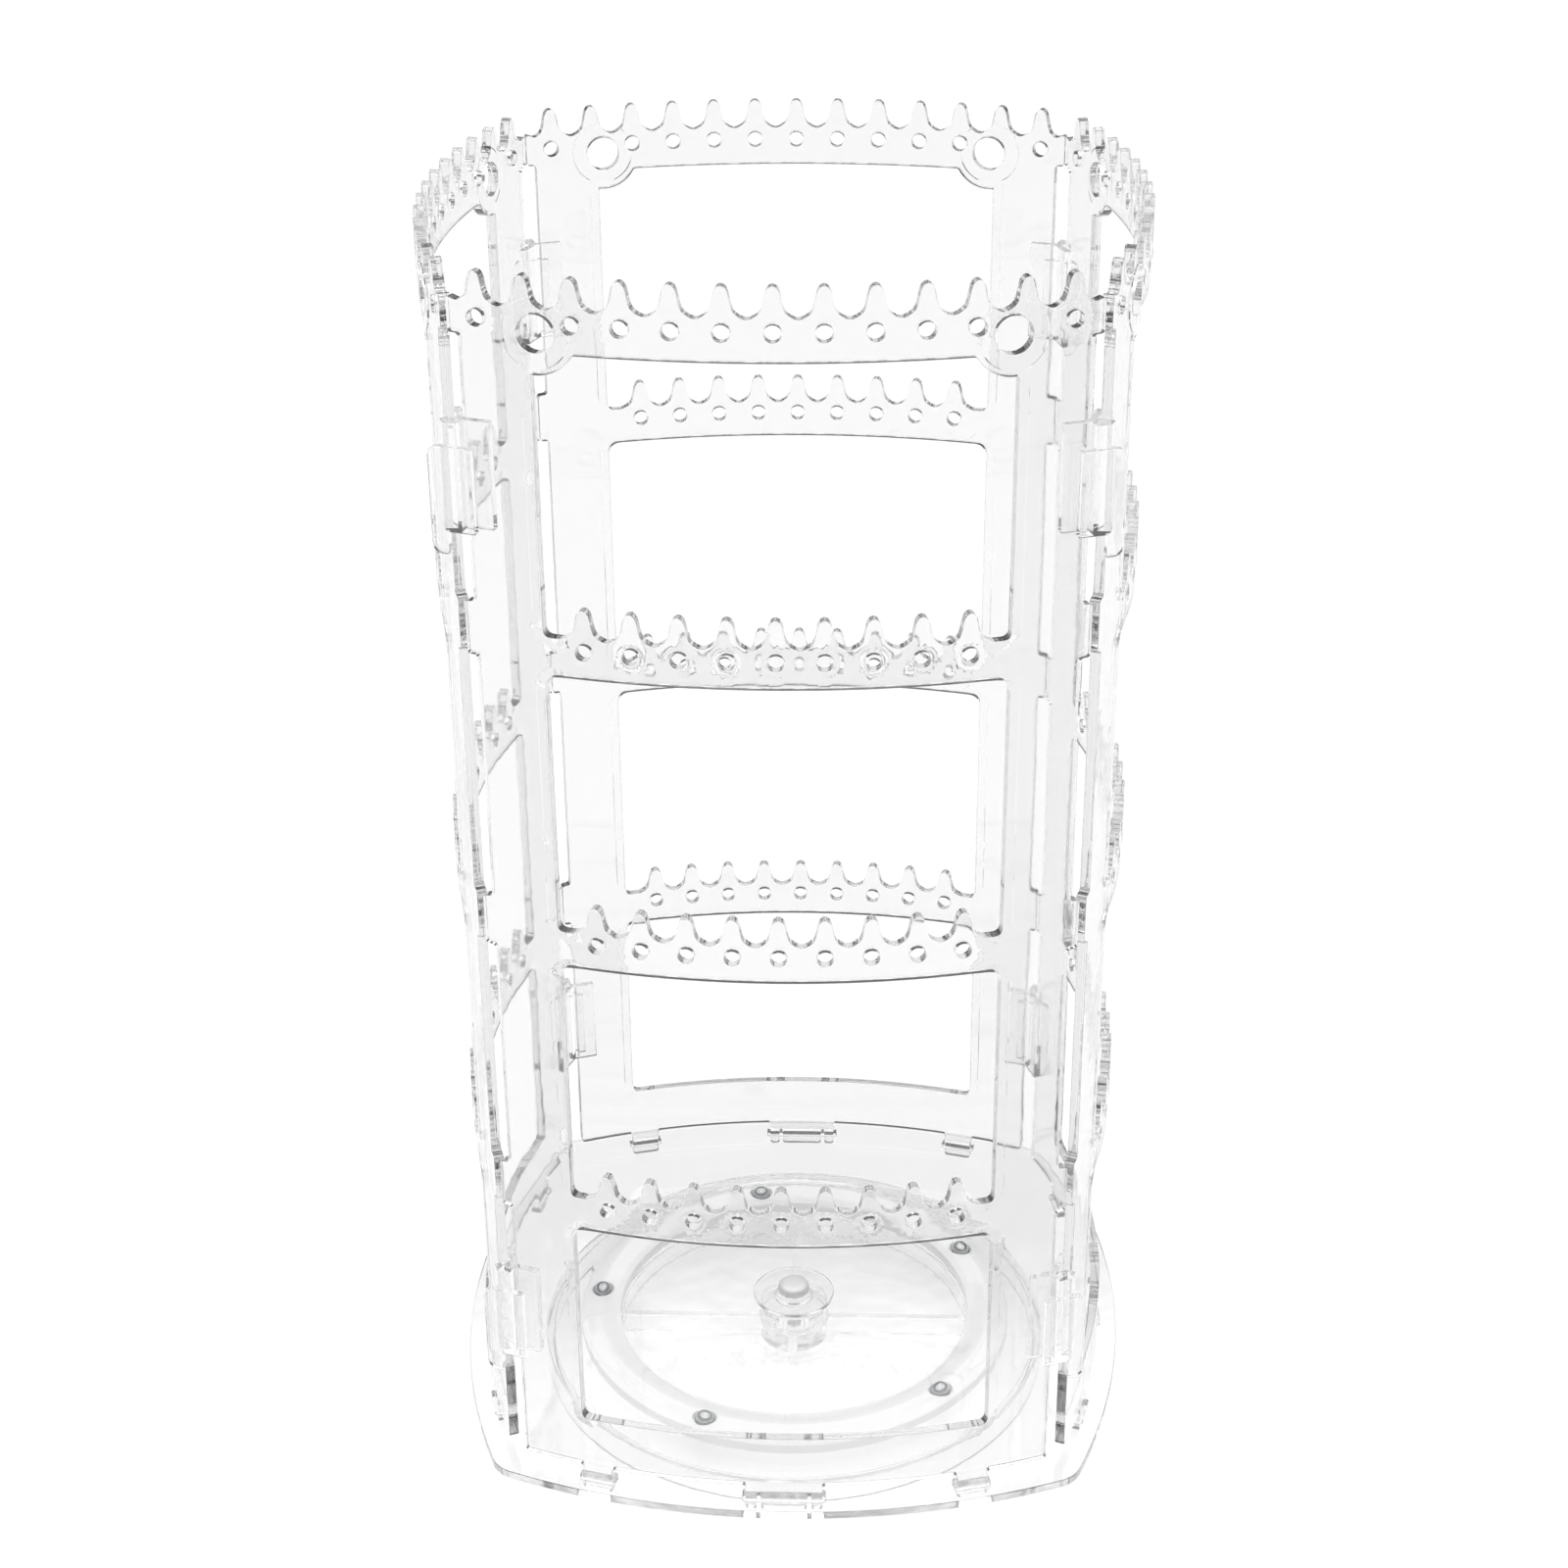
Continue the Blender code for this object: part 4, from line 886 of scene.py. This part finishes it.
def room_light():
    """Light by height: dim walls up to 35 degrees above the horizon, a bright ceiling from 39 degrees up.

    The height is read as its sine, with a smooth step between wall and ceiling. Beyond the floor's edge the
    walls show as white as the floor.
    """
    world = bpy.data.worlds.new("room")
    bpy.context.scene.world = world
    world.use_nodes = True
    world.node_tree.nodes.clear()
    around = add_node(world, "ShaderNodeTexCoord").outputs["Generated"]
    height = add_node(world, "ShaderNodeSeparateXYZ", {"Vector": around}).outputs["Z"]
    ramp = add_node(world, "ShaderNodeMapRange",
                    {"Value": height, "From Min": WALL_END, "From Max": CEILING_START,
                     "To Min": WALL_LIGHT, "To Max": CEILING_LIGHT}, interpolation_type="SMOOTHSTEP")
    ray = add_node(world, "ShaderNodeLightPath")
    shown = add_node(world, "ShaderNodeMath", operation="MAXIMUM")
    world.node_tree.links.new(ramp.outputs["Result"], shown.inputs[0])
    world.node_tree.links.new(ray.outputs["Is Camera Ray"], shown.inputs[1])
    light = add_node(world, "ShaderNodeBackground",
                     {"Color": linear("FFFFFF"), "Strength": shown.outputs["Value"]})
    add_node(world, "ShaderNodeOutputWorld", {"Surface": light.outputs["Background"]})


floor = bpy.data.objects.new("floor", floor_mesh())
bpy.context.scene.collection.objects.link(floor)
floor.data.materials.append(white_paint("matt_white_paint"))
room_light()

# A square soft lamp overhead, aimed at the middle of the rack
lamp_data = bpy.data.lights.new("overhead", "AREA")
lamp_data.size = LAMP_SIZE
lamp_data.energy = LAMP_POWER
lamp = bpy.data.objects.new("overhead", lamp_data)
bpy.context.scene.collection.objects.link(lamp)
lamp.location = LAMP_AT
lamp.rotation_euler = (Vector(LAMP_AIM) - Vector(LAMP_AT)).to_track_quat("-Z", "Y").to_euler()

# The camera at the photo's angle, on a sphere around a point on the rack's axis
camera_data = bpy.data.cameras.new("camera")
camera_data.lens = CAMERA_LENS
camera_data.sensor_width = 36
camera = bpy.data.objects.new("camera", camera_data)
bpy.context.scene.collection.objects.link(camera)
flat = math.cos(CAMERA_HEIGHT_ANGLE)
outwards = Vector((math.sin(CAMERA_SIDE_ANGLE) * flat, -math.cos(CAMERA_SIDE_ANGLE) * flat,
                   math.sin(CAMERA_HEIGHT_ANGLE)))
camera.location = Vector(CAMERA_AROUND) + CAMERA_DISTANCE * outwards
facing = (Vector(CAMERA_AIM) - camera.location).to_track_quat("-Z", "Y").to_matrix()
camera.rotation_euler = (facing @ Matrix.Rotation(CAMERA_ROLL, 3, "Z")).to_euler()
bpy.context.scene.camera = camera
bpy.context.scene.view_settings.view_transform = "Standard"

# Light crosses many clear walls and runs a long way inside them, so it is followed through many bounces
cycles = bpy.context.scene.cycles
cycles.caustics_refractive = False
cycles.caustics_reflective = False
cycles.transmission_bounces = BOUNCES
cycles.glossy_bounces = BOUNCES
cycles.max_bounces = BOUNCES
cycles.transparent_max_bounces = BOUNCES
